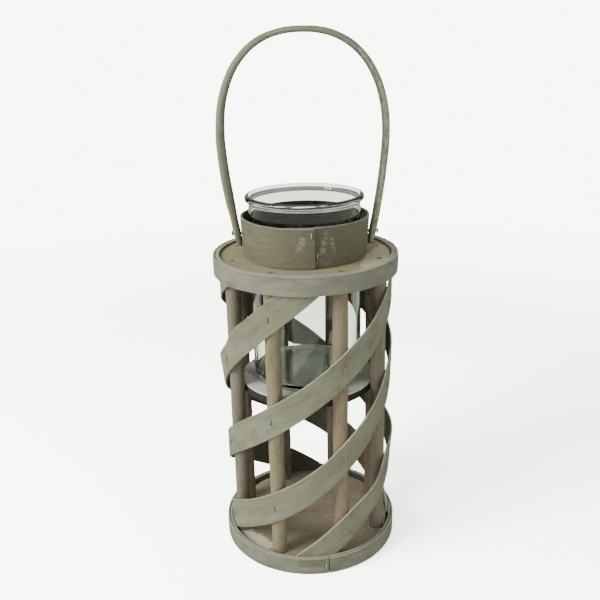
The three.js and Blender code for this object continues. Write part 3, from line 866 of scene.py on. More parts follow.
@dataclass
class Board:
    """A round board with softened rims, sawn with its fibres along one line."""

    node: str
    finish: WoodFinish
    slot: Slot
    seed: int
    bore: float = 0.0
    rim_rounding: float = 0.9 * MM
    columns: int = 240
    fibre_turn: float = 0.0
    dark_edge: bool = False
    saw: float = 0.05 * MM
    seat_ring: float = 8.3 * MM
    seat_depth: float = 0.25 * MM
    # A pale patch painted where light falls on the board: its angle and distance from the axis, and its width and
    # depth.
    painted_light_spot: tuple[float, float] = (0.0, 0.0)
    painted_light_size: tuple[float, float] = (17.0 * MM, 8.0 * MM)

    def marks(self, points: np.ndarray, top: float) -> np.ndarray:
        """How far a point is from the pale marks on the board's top.

        The marks are a circle scored round each post's foot, and a painted pool of light, a pale
        patch painted where light falls on the board, which is an ellipse with one axis pointing outwards.

        Args:
            points: the board's points.
            top: its upper face's height.

        Returns:
            The distance to the nearest mark, and a large one on the other faces.
        """
        angle, radius = self.painted_light_spot
        outward, sideways = directions(angle)
        offset = points - radius * outward
        wide, deep = self.painted_light_size
        away = np.hypot(offset @ sideways / wide, offset @ outward / deep)
        marks = (away - 1.0) * 0.25 * deep
        if self.seat_ring:
            corners = [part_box(node) for node in nodes_named("post_")]
            posts = np.array([((low + high) / 2)[:2] for low, high in corners])
            from_post = np.linalg.norm(points[..., None, :2] - posts, axis=-1)
            marks = np.minimum(marks, np.abs(from_post - self.seat_ring).min(axis=-1) + self.seat_depth)
        return np.where(points[..., 2] > top - 0.5 * MM, np.maximum(marks, 0.0), 1.0)

    def profile(self, ring: Ring) -> np.ndarray:
        """From the underside's middle or bore, out over the rim and back along the top.

        Args:
            ring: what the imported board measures.

        Returns:
            Distances from the axis and heights.
        """
        soft = self.rim_rounding
        start = max(self.bore, 2.0 * MM)
        rim = ring.outer - soft
        parts = [
            line((start, ring.low), (rim, ring.low), 18),
            arc((rim, ring.low + soft), soft, -90.0, -8.0, 6),
            line((ring.outer, ring.low + soft), (ring.outer, ring.high - soft), 8),
            arc((rim, ring.high - soft), soft, 0.0, 90.0, 6),
            line((rim - 0.2 * MM, ring.high), (start, ring.high), 90),
        ]
        if self.bore:
            parts.append(line((start, ring.high), (start, ring.low), 8))
        else:
            parts.append(np.array([(start, ring.high)]))
        return np.concatenate(parts)

    def build(self) -> None:
        """Makes the board.

        The profile is turned about the axis. The rim wanders a little, as a bandsaw leaves it,
        and the faces lie in slow waves. Where the edge is dark, only the top counts as facing out.
        """
        ring = Ring.of(self.node)
        profile = self.profile(ring)
        reach, level = profile[:, :1], profile[:, 1:]
        points, angle = turned(profile, self.columns)
        outward = smoothstep(reach, ring.outer - 4.0 * MM, ring.outer)
        saw = Ripple(self.seed).loop(angle, 0.12 * MM) + Ripple(self.seed + 5, 40).loop(angle, self.saw)
        points[..., :2] *= 1.0 + (outward * saw)[..., None] / ring.outer
        waves = Ripple(self.seed + 9).sheet(points[..., 0], points[..., 1], (60 * MM, 90 * MM), 0.07 * MM)
        upward = smoothstep(level, ring.low + 4.0 * MM, ring.high)
        points[..., 2] += waves * upward * smoothstep(reach, self.bore, self.bore + 2.0 * MM)
        across, along = directions(self.fibre_turn)
        to_edge = np.minimum(level - ring.low, ring.high - level)
        # rim also measures the distance to the marks, so the painted pool of light takes the pale colour.
        rim = np.minimum(np.abs(ring.outer - reach) + to_edge, self.marks(points, ring.high))
        upper = smoothstep(level, ring.high - 1.8 * MM, ring.high - 0.8 * MM)
        plank = (points @ along, points @ -across, points[..., 2])
        piece = wooden(self.node, points, plank, rim, upper if self.dark_edge else np.ones_like(upper),
                       self.seed, closed=bool(self.bore), bevel=0.0)
        hand_over(piece, self.finish, self.slot, Body.FRAME, self.node)


@dataclass
class Boards:
    """The base board, the shelf under the jar, and the top board with its bore."""

    def build(self) -> None:
        """Makes the three boards."""
        top = Ring.of("top_board")
        # Each board has a pale patch painted where light falls on it: painted light.
        Board("base_board", BASE_WOOD, Slot.BOARD, seed=11, fibre_turn=20.0,
              painted_light_spot=(-47.0, 77.0 * MM)).build()
        Board("shelf_board", SHELF_WOOD, Slot.SHELF, seed=23, fibre_turn=-15.0, dark_edge=True,
              saw=0.25 * MM, painted_light_spot=(-62.0, 64.0 * MM), painted_light_size=(34.0 * MM, 10.0 * MM)).build()
        Board("top_board", BOARD_WOOD, Slot.BOARD, seed=37, bore=top.inner, fibre_turn=5.0,
              seat_ring=0.0, painted_light_spot=(72.0, 74.0 * MM), painted_light_size=(40.0 * MM, 11.0 * MM)).build()


# ---------------------------------------------------------------- posts


@dataclass
class Posts:
    """Eight round rods, none of them quite round or quite straight."""

    rows: int = 130
    columns: int = 44
    out_of_round: float = 0.18 * MM
    bend: float = 0.25 * MM
    finishes: dict[str, WoodFinish] = field(default_factory=lambda: {
        "post_1": PINK_POST, "post_2": GREY_POST, "post_3": PINK_POST, "post_6": PINK_POST,
        "post_7": GREY_POST, "post_8": TAN_POST,
    })

    def build(self) -> None:
        """Makes a rod for each packed post."""
        for number, node in enumerate(nodes_named("post_")):
            self.rod(node, 100 + 7 * number)

    def rod(self, node: str, seed: int) -> None:
        """Makes one rod.

        A circle is carried up the rod. Its radius wanders with the angle and the height, and its
        middle moves off the axis by a slow wander that is nothing at both ends.

        Args:
            node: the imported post.
            seed: chooses the wanders and the grain.
        """
        low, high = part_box(node)
        middle, radius = (low + high) / 2, (high.x - low.x) / 2
        height = np.linspace(low.z, high.z, self.rows)[:, None]
        angle = np.linspace(0.0, 360.0, self.columns, endpoint=False)[None, :]
        share = (height - low.z) / (high.z - low.z)
        held = np.sin(np.pi * share)
        out = Ripple(seed, 4).line(height, 220 * MM, self.bend) * held
        side = Ripple(seed + 3, 4).line(height, 260 * MM, self.bend) * held
        turn = np.radians(angle)
        reach = (radius - self.out_of_round
                 + Ripple(seed + 1, 5).loop(angle, 0.5 * self.out_of_round)
                 + Ripple(seed + 2).sheet(turn * radius, height, (9 * MM, 70 * MM), 0.5 * self.out_of_round))
        points = around(angle, reach, height)
        points[..., 0] += middle.x + out
        points[..., 1] += middle.y + side
        plank = (height, radius * np.sin(turn), radius * np.cos(turn))
        # face is 1 on the side turned away from the axis; the finish paints the side towards the jar darker, as
        # painted shade.
        face = 0.5 + 0.5 * np.cos(turn - math.atan2(middle.x, -middle.y))
        piece = wooden(node, points, plank, np.minimum(height - low.z, high.z - height), face, seed)
        hand_over(piece, self.finishes.get(node, GREY_POST), Slot.POST, Body.FRAME, node)


# ---------------------------------------------------------------- slats


@dataclass(frozen=True)
class SlatCurve:
    """How one slat was bent.

    Its middle line is near the underside at the angle foot, and climbs the body's height in turn
    degrees. It wanders from that line waver twice a turn, through zero at waver_at, and sway once
    a turn, through zero at sway_at. It stands bow off the posts half way between two of them.
    """

    foot: float
    turn: float
    waver: float
    waver_at: float
    sway: float
    sway_at: float
    bow: float


@dataclass
class Slats:
    """Four wide slats, each bent into a helix round the posts and tucked into the hoops."""

    width: float = 27.0 * MM
    thickness: float = 2.0 * MM
    tip: float = 12.0 * MM
    inset: float = 1.2 * MM
    clearance: float = 0.3 * MM
    hoop_height: float = 18.0 * MM
    bow_fade: float = 36.0 * MM
    bow_edges: tuple[float, float] = (0.2, 1.6)
    rounding: float = 0.75 * MM
    step: float = 1.3
    lower_wear: float = 2.5
    dent: float = 0.35 * MM
    dent_size: float = 2.6 * MM
    edge_wander: float = 0.3 * MM
    cupping: float = 0.12 * MM
    curves: tuple[SlatCurve, ...] = (
        SlatCurve(-10.8, 315.2, 5.6 * MM, 10.0, 4.6 * MM, -78.0, 2.3 * MM),
        SlatCurve(-93.1, 285.0, 7.2 * MM, 36.0, 3.1 * MM, 171.0, 0.8 * MM),
        SlatCurve(-190.3, 304.7, 0.6 * MM, 77.0, 5.9 * MM, 46.0, 0.5 * MM),
        SlatCurve(-260.7, 271.5, 2.5 * MM, -81.0, 10.5 * MM, 4.0, 2.8 * MM),
    )

    def __post_init__(self) -> None:
        """Takes the body's height, the boards' radius and the posts' angles from the model."""
        self.body_height = Ring.of("top_hoop_outer").high
        self.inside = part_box("base_board")[1].x + self.clearance
        self.post_angles = np.sort([Ring.of(node).angle % 360.0 for node in nodes_named("post_")])

    def build(self) -> None:
        """Makes the four slats."""
        for number, curve in enumerate(self.curves):
            self.slat(f"slat_{number + 1}", curve, 200 + 13 * number)

    def rise(self, curve: SlatCurve) -> float:
        """A slat's climb for each degree."""
        return self.body_height / curve.turn

    def reach(self, curve: SlatCurve) -> float:
        """Half of a slat's upright reach: its width is measured square to its slope."""
        per_degree = math.radians(self.inside + self.thickness / 2)
        return self.width / 2 * math.hypot(1.0, self.rise(curve) / per_degree)

    def middle(self, curve: SlatCurve, angle: np.ndarray) -> np.ndarray:
        """The middle line's height: a straight climb, two waves of waver and one of sway a turn."""
        wander = curve.waver * np.sin(np.radians(2.0 * (angle - curve.waver_at)))
        wander = wander + curve.sway * np.sin(np.radians(angle - curve.sway_at))
        return self.rise(curve) * (angle - curve.foot) + wander

    def angle_at(self, curve: SlatCurve, height: float) -> float:
        """The angle where the middle line has a height, read off the line's own points."""
        angles = np.linspace(curve.foot - 45.0, curve.foot + curve.turn + 45.0, 4001)
        return float(np.interp(height, self.middle(curve, angles), angles))

    def between_posts(self, angle: np.ndarray) -> np.ndarray:
        """sin^2(pi s), where s is the share of the way from one post to the next."""
        ends = [[self.post_angles[-1] - 360.0], self.post_angles, [self.post_angles[0] + 360.0]]
        stops = np.concatenate(ends)
        here = np.mod(angle, 360.0)
        after = np.searchsorted(stops, here, side="right")
        share = (here - stops[after - 1]) / (stops[after] - stops[after - 1])
        return np.sin(np.pi * share) ** 2

    def stand_off(self, curve: SlatCurve, angle: np.ndarray, across: np.ndarray) -> np.ndarray:
        """How far the slat stands off the posts.

        The bow between the posts, times a share that grows from the lower edge to the upper,
        times a fade that is nothing near the hoops.

        Args:
            curve: the slat.
            angle: the rows' angles.
            across: the share up its width.

        Returns:
            The distance off the posts.
        """
        middle, reach = self.middle(curve, angle), self.reach(curve)
        low = self.hoop_height + reach
        high = self.body_height - self.hoop_height - reach
        clear = smoothstep(middle, low, low + self.bow_fade)
        clear = clear * (1.0 - smoothstep(middle, high - self.bow_fade, high))
        lower, upper = self.bow_edges
        lean = lower + (upper - lower) * across
        return curve.bow * lean * clear * self.between_posts(angle)

    def dents(self, node: str, angle: np.ndarray, height: np.ndarray) -> np.ndarray:
        """Hollows where the staples bite: for each, e^(-d^2 / 2s^2) of the distance d from it.

        Args:
            node: the slat.
            angle: the rows' angles.
            height: the points' heights.

        Returns:
            How deep the surface is pressed in, from 0 to 1.
        """
        places = [Ring.of(staple) for staple in nodes_named(f"{node}_staple_")]
        where = np.array([place.angle for place in places])
        level = np.array([(place.low + place.high) / 2 for place in places])
        turn = np.mod(angle[..., None] - where + 180.0, 360.0) - 180.0
        side = np.radians(turn) * self.inside
        up = np.maximum(np.abs(height[..., None] - level) - 2.0 * MM, 0.0)
        return np.exp(-(side**2 + up**2) / (2.0 * self.dent_size**2)).sum(axis=-1)

    def slat(self, node: str, curve: SlatCurve, seed: int) -> None:
        """Makes one slat.

        Each row of the grid is the strip's outline at one angle. Its edges wander by a few
        tenths of a millimetre, as a split strip's do, and its faces lie in slow waves.

        Args:
            node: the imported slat.
            curve: how it was bent.
            seed: chooses its wanders and its grain.
        """
        section = Section.rounded(face_points=24, edge_points=7)
        reach = self.reach(curve)
        below = reach - self.tip - self.inset
        first, last = self.angle_at(curve, -below), self.angle_at(curve, self.body_height + below)
        angle = np.linspace(first, last, math.ceil((last - first) / self.step))[:, None]
        middle = self.middle(curve, angle)
        arcs = np.radians(angle) * (self.inside + self.thickness / 2)
        slope = np.gradient(middle[:, 0], arcs[:, 0])[:, None]
        travelled = np.cumsum(np.hypot(1.0, slope) * np.gradient(arcs, axis=0), axis=0)
        lower = middle - reach + Ripple(seed).line(travelled, 150 * MM, self.edge_wander)
        upper = middle + reach + Ripple(seed + 1).line(travelled, 170 * MM, self.edge_wander)
        low = np.maximum(lower, self.inset)
        high = np.minimum(upper, self.body_height - self.inset)
        height = section.heights(low, high, self.rounding)
        cup = Ripple(seed + 2).sheet(travelled, height, (60 * MM, 40 * MM), self.cupping)
        dent = self.dent * self.dents(node, angle, height)
        stand_off = self.stand_off(curve, angle, (height - low) / (high - low))
        outer = section.through > 0.5
        radius = self.inside + stand_off + self.thickness * section.through + (cup - dent) * outer
        lean, off = np.arctan(slope), height - middle
        plank = (travelled + off * np.sin(lean), off * np.cos(lean), self.thickness * section.through)
        worn = self.lower_wear * gap_between(height, low) + self.rounding
        rim = np.minimum(worn, gap_between(high, height)) * np.cos(lean)
        piece = wooden(node, around(angle, radius, height), plank, rim, section.through, seed)
        hand_over(piece, SLAT_WOOD, Slot.SLAT, Body.FRAME, node)


# ---------------------------------------------------------------- hoops and collar


@dataclass
class Hoops:
    """Two hoops of two layers each: straight strips bent round, with butted ends."""

    layer: float = 2.4 * MM
    seam_gap: float = 0.8 * MM
    rounding: float = 0.8 * MM
    step: float = 0.75
    seams: dict[str, float] = field(default_factory=lambda: {
        "base_hoop_outer": 11.5, "base_hoop_inner": 191.5,
        "top_hoop_outer": 200.0, "top_hoop_inner": 380.0,
    })
    patch_angles: tuple[float, float] = (-7.8, 10.6)
    patch_heights: tuple[float, float] = (6.3 * MM, 16.2 * MM)
    patch_depth: float = 0.9 * MM
    # How much darker the pared hollow is painted: painted shade.
    patch_painted_shade: float = 0.6
    patch_outline: float = 0.15 * MM
    lining: float = 1.5 * MM
    edge_wander: float = 0.2 * MM
    cupping: float = 0.12 * MM

    def build(self) -> None:
        """Makes the four layers."""
        for number, (node, seam) in enumerate(self.seams.items()):
            self.strip(node, seam, 300 + 17 * number)

    def patch(self, angle: np.ndarray, height: np.ndarray) -> np.ndarray:
        """A shallow pared place beside the base hoop's seam, 1 inside it and 0 outside.

        Inside is where a sixth-power distance from its middle is under 1, so that its corners
        are round.

        Args:
            angle: the points' angles.
            height: the points' heights.

        Returns:
            The share of the depth at each point.
        """
        (left, right), (foot, head) = self.patch_angles, self.patch_heights
        across = (np.mod(angle + 180.0, 360.0) - 180.0 - (left + right) / 2) / ((right - left) / 2)
        upward = (height - (foot + head) / 2) / ((head - foot) / 2)
        return 1.0 - smoothstep((across**6 + upward**6) ** (1.0 / 6.0), 0.9, 1.06)

    def strip(self, node: str, seam: float, seed: int) -> None:
        """Makes one layer.

        The strip's outline is carried round from one side of its seam to the other. Its upper
        and lower edges wander, its ends lift a little, and its faces lie in slow waves.

        Args:
            node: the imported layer.
            seam: the angle where its ends nearly meet.
            seed: chooses its wanders and its grain.
        """
        ring = Ring.of(node)
        section = Section.rounded(face_points=18, edge_points=7, sharpness=0.5)
        gap = math.degrees(self.seam_gap / ring.outer)
        angle = np.linspace(seam + gap / 2, seam + 360.0 - gap / 2, int(360 / self.step))[:, None]
        arcs = np.radians(angle) * ring.outer
        low = ring.low + np.maximum(Ripple(seed).line(arcs, 130 * MM, self.edge_wander), 0.0)
        high = ring.high + Ripple(seed + 1).line(arcs, 160 * MM, self.edge_wander)
        height = section.heights(low, high, self.rounding)
        layer = self.layer + (self.lining if node == "top_hoop_inner" else 0.0)
        slow = Ripple(seed + 2).sheet(arcs, height, (70 * MM, 30 * MM), self.cupping)
        outer = smoothstep(section.through, 0.4, 0.7)
        radius = ring.outer - layer + layer * section.through + slow * outer
        face = section.through
        rim = np.minimum(gap_between(height, low), gap_between(high, height))
        # The painted shade on the top hoops' inner face fades out towards their upper edge.
        if node.startswith("top_hoop"):
            face = np.maximum(face, 0.7 * smoothstep(height, ring.high - 6.0 * MM, ring.high))
        if node == "base_hoop_outer":
            pared = outer * self.patch(angle, height)
            radius = radius - self.patch_depth * pared
            # Painted shade: the pared hollow is darkened through face.
            face = face - self.patch_painted_shade * pared
            rim = np.where(np.abs(pared - 0.5) < 0.42, self.patch_outline, rim)
        plank = (arcs, height, self.layer * section.through)
        piece = wooden(node, around(angle, radius, height), plank, rim, face, seed)
        hand_over(piece, HOOP_WOOD, Slot.HOOP, Body.FRAME, node)


@dataclass
class Collar:
    """The bentwood band round the jar, which passes over its own start at the front."""

    thickness: float = 2.7 * MM
    lap_gap: float = 0.3 * MM
    flare: float = 2.1 * MM
    start: float = -18.0
    lap: float = 26.0
    step_out: float = 40.0
    chip: float = 1.4 * MM
    chip_turn: float = 2.5
    edge_wander: float = 0.25 * MM
    cupping: float = 0.1 * MM
    rounding: float = 0.9 * MM
    step: float = 0.75
    seed: int = 411
    wiped_depth: float = 0.52 * MM
    wiped: tuple[tuple[float, float, float, float, float], ...] = (
        (15.0, 0.5, 9.0, 4.5, 0.55), (24.0, 0.55, -6.0, 3.5, 0.4), (357.0, 0.65, 8.0, 5.0, 0.3),
    )

    def build(self) -> None:
        """Makes the band.

        Its outline is carried from its inner end, once round, and on over its start. The inner
        radius grows with the height by the flare, and by one thickness as the band steps out
        before the lap. The upper edge wanders.
        """
        ring = Ring.of("collar")
        section = Section.rounded(face_points=34, edge_points=9, sharpness=0.55)
        turned_by = 360.0 + self.lap
        angle = np.linspace(self.start, self.start + turned_by, int(turned_by / self.step))[:, None]
        arcs = np.radians(angle) * (ring.inner + self.thickness)
        chipped = 1.0 - smoothstep(angle, self.start, self.start + self.chip_turn)
        high = ring.high + Ripple(self.seed).line(arcs, 180 * MM, self.edge_wander) - self.chip * chipped
        height = section.heights(np.full_like(arcs, ring.low), high, self.rounding)
        climb = (height - ring.low) / (ring.high - ring.low)
        over = self.over(angle)
        inside = ring.inner + self.flare * climb + (self.thickness + self.lap_gap) * over
        slow = Ripple(self.seed + 2).sheet(arcs, height, (80 * MM, 60 * MM), self.cupping)
        outer = smoothstep(section.through, 0.4, 0.7)
        radius = inside + self.thickness * section.through + slow * outer * (1.0 - over)
        rim = np.minimum(gap_between(high, height), self.smears(angle, climb))
        plank = (arcs, height, self.thickness * section.through)
        piece = wooden("collar", around(angle, radius, height), plank, rim, section.through, self.seed,
                       bevel=0.3 * MM)
        hand_over(piece, COLLAR_WOOD, Slot.COLLAR, Body.FRAME, "collar")

    def smears(self, angle: np.ndarray, climb: np.ndarray) -> np.ndarray:
        """How far a point is from the slanting smears where the wash was wiped thin.

        Args:
            angle: the angle along the band.
            climb: the share of the way up.

        Returns:
            The distance to the nearest smear's middle part.
        """
        nearest = np.full(np.broadcast_shapes(angle.shape, climb.shape), 1.0)
        for middle, level, lean, wide, tall in self.wiped:
            side = (angle - middle - lean * (climb - level)) / wide
            away = np.hypot(side, (climb - level) / tall)
            nearest = np.minimum(nearest, self.wiped_depth + 1.2 * MM * np.maximum(away - 0.4, 0.0))
        return nearest

    def over(self, angle: np.ndarray) -> np.ndarray:
        """How far the band has stepped out to pass over its start, from 0 to 1."""
        return smoothstep(angle, self.start + 360.0 - self.step_out, self.start + 360.0)


# ---------------------------------------------------------------- jar


@dataclass
class Jar:
    """A straight glass jar with a thick floor, a slight neck and a rolled rim."""

    wall: float = 2.6 * MM
    floor: float = 6.0 * MM
    heel: float = 7.0 * MM
    bead: float = 3.0 * MM
    bead_out: float = 1.5 * MM
    neck_in: float = 0.8 * MM
    shoulder: float = 14.0 * MM
    kick: float = 1.4 * MM
    dome: float = 0.5 * MM
    foot_ring: float = 3.0 * MM
    pole: float = 2.0 * MM
    columns: int = 160

    def profile(self, ring: Ring) -> np.ndarray:
        """The glass's outline, from under its middle round the rim to the middle of its floor.

        The underside and the floor are quarter waves of a cosine, and the wall draws in to the
        neck along a smoothstep.

        Args:
            ring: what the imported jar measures.

        Returns:
            Distances from the axis and heights.
        """
        bead_middle = ring.high - self.bead
        bead_radius = ring.outer - self.bead
        wall_radius = bead_radius - self.bead_out + self.bead / 2
        inside = wall_radius - self.wall
        shoulder, neck = bead_middle - self.bead - self.shoulder, bead_middle - 1.5 * self.bead
        inner_heel, foot = self.heel - self.wall, wall_radius - self.heel
        arch_edge = foot - self.foot_ring - 1.0 * MM
        under = np.linspace(self.pole, arch_edge, 12)
        arch = ring.low + self.kick * np.cos(0.5 * np.pi * under / arch_edge)
        share = np.linspace(0.0, 1.0, 14)
        ease, climb = smoothstep(share, 0.0, 1.0), shoulder + (neck - shoulder) * share
        floor_top, floor_edge = ring.low + self.floor, inside - inner_heel
        flat = np.linspace(floor_edge, self.pole, 12)
        dome = floor_top + self.dome * np.cos(0.5 * np.pi * flat / floor_edge)
        return np.concatenate([
            np.stack([under, arch], axis=1),
            line((foot - self.foot_ring, ring.low), (foot, ring.low), 3),
            arc((foot, ring.low + self.heel), self.heel, -90.0, 0.0, 14)[:-1],
            line((wall_radius, ring.low + self.heel), (wall_radius, shoulder), 30),
            np.stack([wall_radius - self.neck_in * ease, climb], axis=1),
            arc((bead_radius, bead_middle), self.bead, -62.0, 142.0, 26),
            np.stack([inside - self.neck_in * ease, climb], axis=1)[::-1],
            line((inside, shoulder - 1.0 * MM), (inside, floor_top + inner_heel), 28),
            arc((floor_edge, floor_top + inner_heel), inner_heel, 0.0, -86.0, 10),
            np.stack([flat, dome], axis=1),
        ])

    def build(self) -> None:
        """Turns the outline about the axis and dresses it in glass."""
        points, _ = turned(self.profile(Ring.of("glass_jar")), self.columns)
        piece = make_shell("glass_jar", points, {}, crease=60.0)
        hand_over(piece, PRESSED_GLASS, Slot.GLASS, Body.GLASS, "glass_jar")


# ---------------------------------------------------------------- handle


@dataclass
class Handle:
    """A bail of split cane, flat inside and round outside, hung on two rivets."""

    width: float = 10.0 * MM
    waist_rise: float = 90.0 * MM
    spread: float = 11.6 * MM
    leg: float = 7.3 * MM
    stout_leg: float = 1.3
    # Painted shade on the left leg, and the right leg's pale patches, partly wear and partly painted light.
    left_painted_shade: float = 0.45
    right_wear_and_light: float = 0.36 * MM
    crown: float = 5.8 * MM
    squareness: float = 2.3
    bend: float = 1.5
    heel: float = 6.0 * MM
    toe: float = 13.0 * MM
    play: float = 0.7 * MM
    corner: float = 0.2
    knots: float = 0.22 * MM
    hollows: float = 0.12 * MM
    leg_points: int = 44
    arch_points: int = 60
    arch_spacing: tuple[float, float] = (-0.6, 1.6)
    seed: int = 509

    def __post_init__(self) -> None:
        """Takes the pivots' height and the collar's slope from the model."""
        self.pivot = frame["joints"][0]["pos_m"][2]
        self.collar = Ring.of("collar")
        self.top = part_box("handle")[1].z
        self.outside_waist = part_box("handle")[1].x

    def leg_edge(self, half_width: float, height: np.ndarray) -> np.ndarray:
        """Half the width between the legs' edges below the waist.

        The half width at the waist, less the spread times the share of the way down to the power
        of the bend, and never nearer the collar than the play.

        Args:
            half_width: half the width at the waist.
            height: heights below the waist.

        Returns:
            The distance from the middle at each height.
        """
        share = (self.pivot + self.waist_rise - height) / self.waist_rise
        collar = Collar()
        climb = (height - self.collar.low) / (self.collar.high - self.collar.low)
        nearest = self.collar.inner + collar.flare * climb + collar.thickness + self.play
        return np.maximum(half_width - self.spread * share**self.bend, nearest)

    def edge(self, half_width: float, crown_height: float, foot_height: float) -> np.ndarray:
        """One edge of the arch, from its right foot over the crown to its left foot.

        Above the waist it is a superellipse, x = w cos(t)^(2/n) and z = waist + h sin(t)^(2/n).

        Args:
            half_width: half the width at the waist.
            crown_height: the height over the middle.
            foot_height: where the legs end.

        Returns:
            x and z as (n, 2).
        """
        waist = self.pivot + self.waist_rise
        height = np.linspace(foot_height, waist, self.leg_points, endpoint=False)
        legs = np.stack([self.leg_edge(half_width, height), height], axis=1)
        spacing = smoothstep(np.linspace(0.0, 1.0, self.arch_points), *self.arch_spacing)
        turn = 0.5 * np.pi * (spacing - spacing[0]) / (spacing[-1] - spacing[0])
        power = 2.0 / self.squareness
        across = half_width * np.abs(np.cos(turn)) ** power
        across[-1] = 0.0
        over = np.stack([across, waist + (crown_height - waist) * np.sin(turn) ** power], axis=1)
        right = np.concatenate([legs, over])
        return np.concatenate([right, right[-2::-1] * (-1.0, 1.0)])

    @staticmethod
    def on_left(across: np.ndarray) -> np.ndarray:
        """1 on the left leg and 0 on the right one and over the crown."""
        return smoothstep(-across, 30.0 * MM, 55.0 * MM)

    def painted_light_and_wear(self, outside: np.ndarray, share: np.ndarray) -> tuple[np.ndarray, np.ndarray]:
        """Painted light and shade on the bail: the right leg is painted pale in patches, partly worn
        wash and partly painted light that it catches, and the left leg is painted darker as painted shade.

        Args:
            outside: the arch's outer edge, as x and z.
            share: the share of the way from the inner face to the outer.

        Returns:
            The distances to a worn or pale-painted edge, and how far the surface faces out, lessened
            on the left leg by painted shade.
        """
        across, height = outside[:, :1], outside[:, 1:]
        # Painted shade on the left leg, fading out towards the crown.
        shaded = 1.0 - smoothstep(height, self.pivot + 80.0 * MM, self.top - 10.0 * MM)
        # The right leg's pale patches: partly worn wash, partly painted light that the leg catches.
        worn = smoothstep(across, 20.0 * MM, 60.0 * MM) * (share > self.corner)
        rim = self.leg * np.abs(share - self.corner) + 0.2 * MM
        rim = np.minimum(rim, rim + (self.right_wear_and_light - rim) * worn)
        return rim, share * (1.0 - self.left_painted_shade * self.on_left(across) * shaded)

    def stoutness(self, outside: np.ndarray) -> np.ndarray:
        """How much thicker than the rest the left leg is between the collar and the crown."""
        across, height = outside[:, :1], outside[:, 1:]
        down = 1.0 - smoothstep(height, self.pivot, self.top - 30.0 * MM)
        clear = smoothstep(height, self.collar.high, self.collar.high + 25.0 * MM)
        return 1.0 + (self.stout_leg - 1.0) * self.on_left(across) * np.sqrt(down * clear)

    def build(self) -> None:
        """Makes the bail.

        Its section is carried between the arch's inner and outer edges. Round the section, y is
        w/2 |cos t|^0.8 and the share outwards is 0.4 + 0.6 |sin t|^0.9 outside and
        0.4 - 0.4 |sin t|^0.35 inside, which is flat with soft corners.
        """
        outside = self.edge(self.outside_waist, self.top, self.pivot - self.heel)
        inside = self.edge(self.outside_waist - self.leg, self.top - self.crown, self.pivot - self.toe)
        turn = np.linspace(0.0, 2.0 * np.pi, 36, endpoint=False)[None, :]
        rise = np.sin(turn)
        share = np.where(rise >= 0.0, 0.4 + 0.6 * np.abs(rise) ** 0.9, 0.4 - 0.4 * np.abs(rise) ** 0.35)
        side = self.width / 2 * signed_power(np.cos(turn), 0.8)
        travelled = np.cumsum(np.linalg.norm(np.gradient(outside, axis=0), axis=1))[:, None]
        knots = Ripple(self.seed, 6).line(travelled, 170 * MM, self.knots)
        hollows = Ripple(self.seed + 1).sheet(travelled, side, (60 * MM, 20 * MM), self.hollows)
        swell = 0.45 + (share - 0.45) * self.stoutness(outside)
        thick = outside - inside
        outward = (thick / np.linalg.norm(thick, axis=1, keepdims=True))[:, None, :]
        flat = inside[:, None, :] + thick[:, None, :] * swell[..., None]
        flat = flat + outward * (hollows * (share > 0.4) + knots * 0.5)[..., None]
        wide = side * (1.0 + 0.03 * np.sin(travelled / (37 * MM))) + knots
        points = np.stack([flat[..., 0], wide, flat[..., 1]], axis=-1)
        rim, face = self.painted_light_and_wear(outside, share)
        plank = (travelled, wide, self.leg * share)
        piece = wooden("handle", points, plank, rim, face, self.seed, bevel=0.6 * MM)
        hand_over(piece, HANDLE_WOOD, Slot.HANDLE, Body.HANDLE, "handle")


# ---------------------------------------------------------------- fasteners


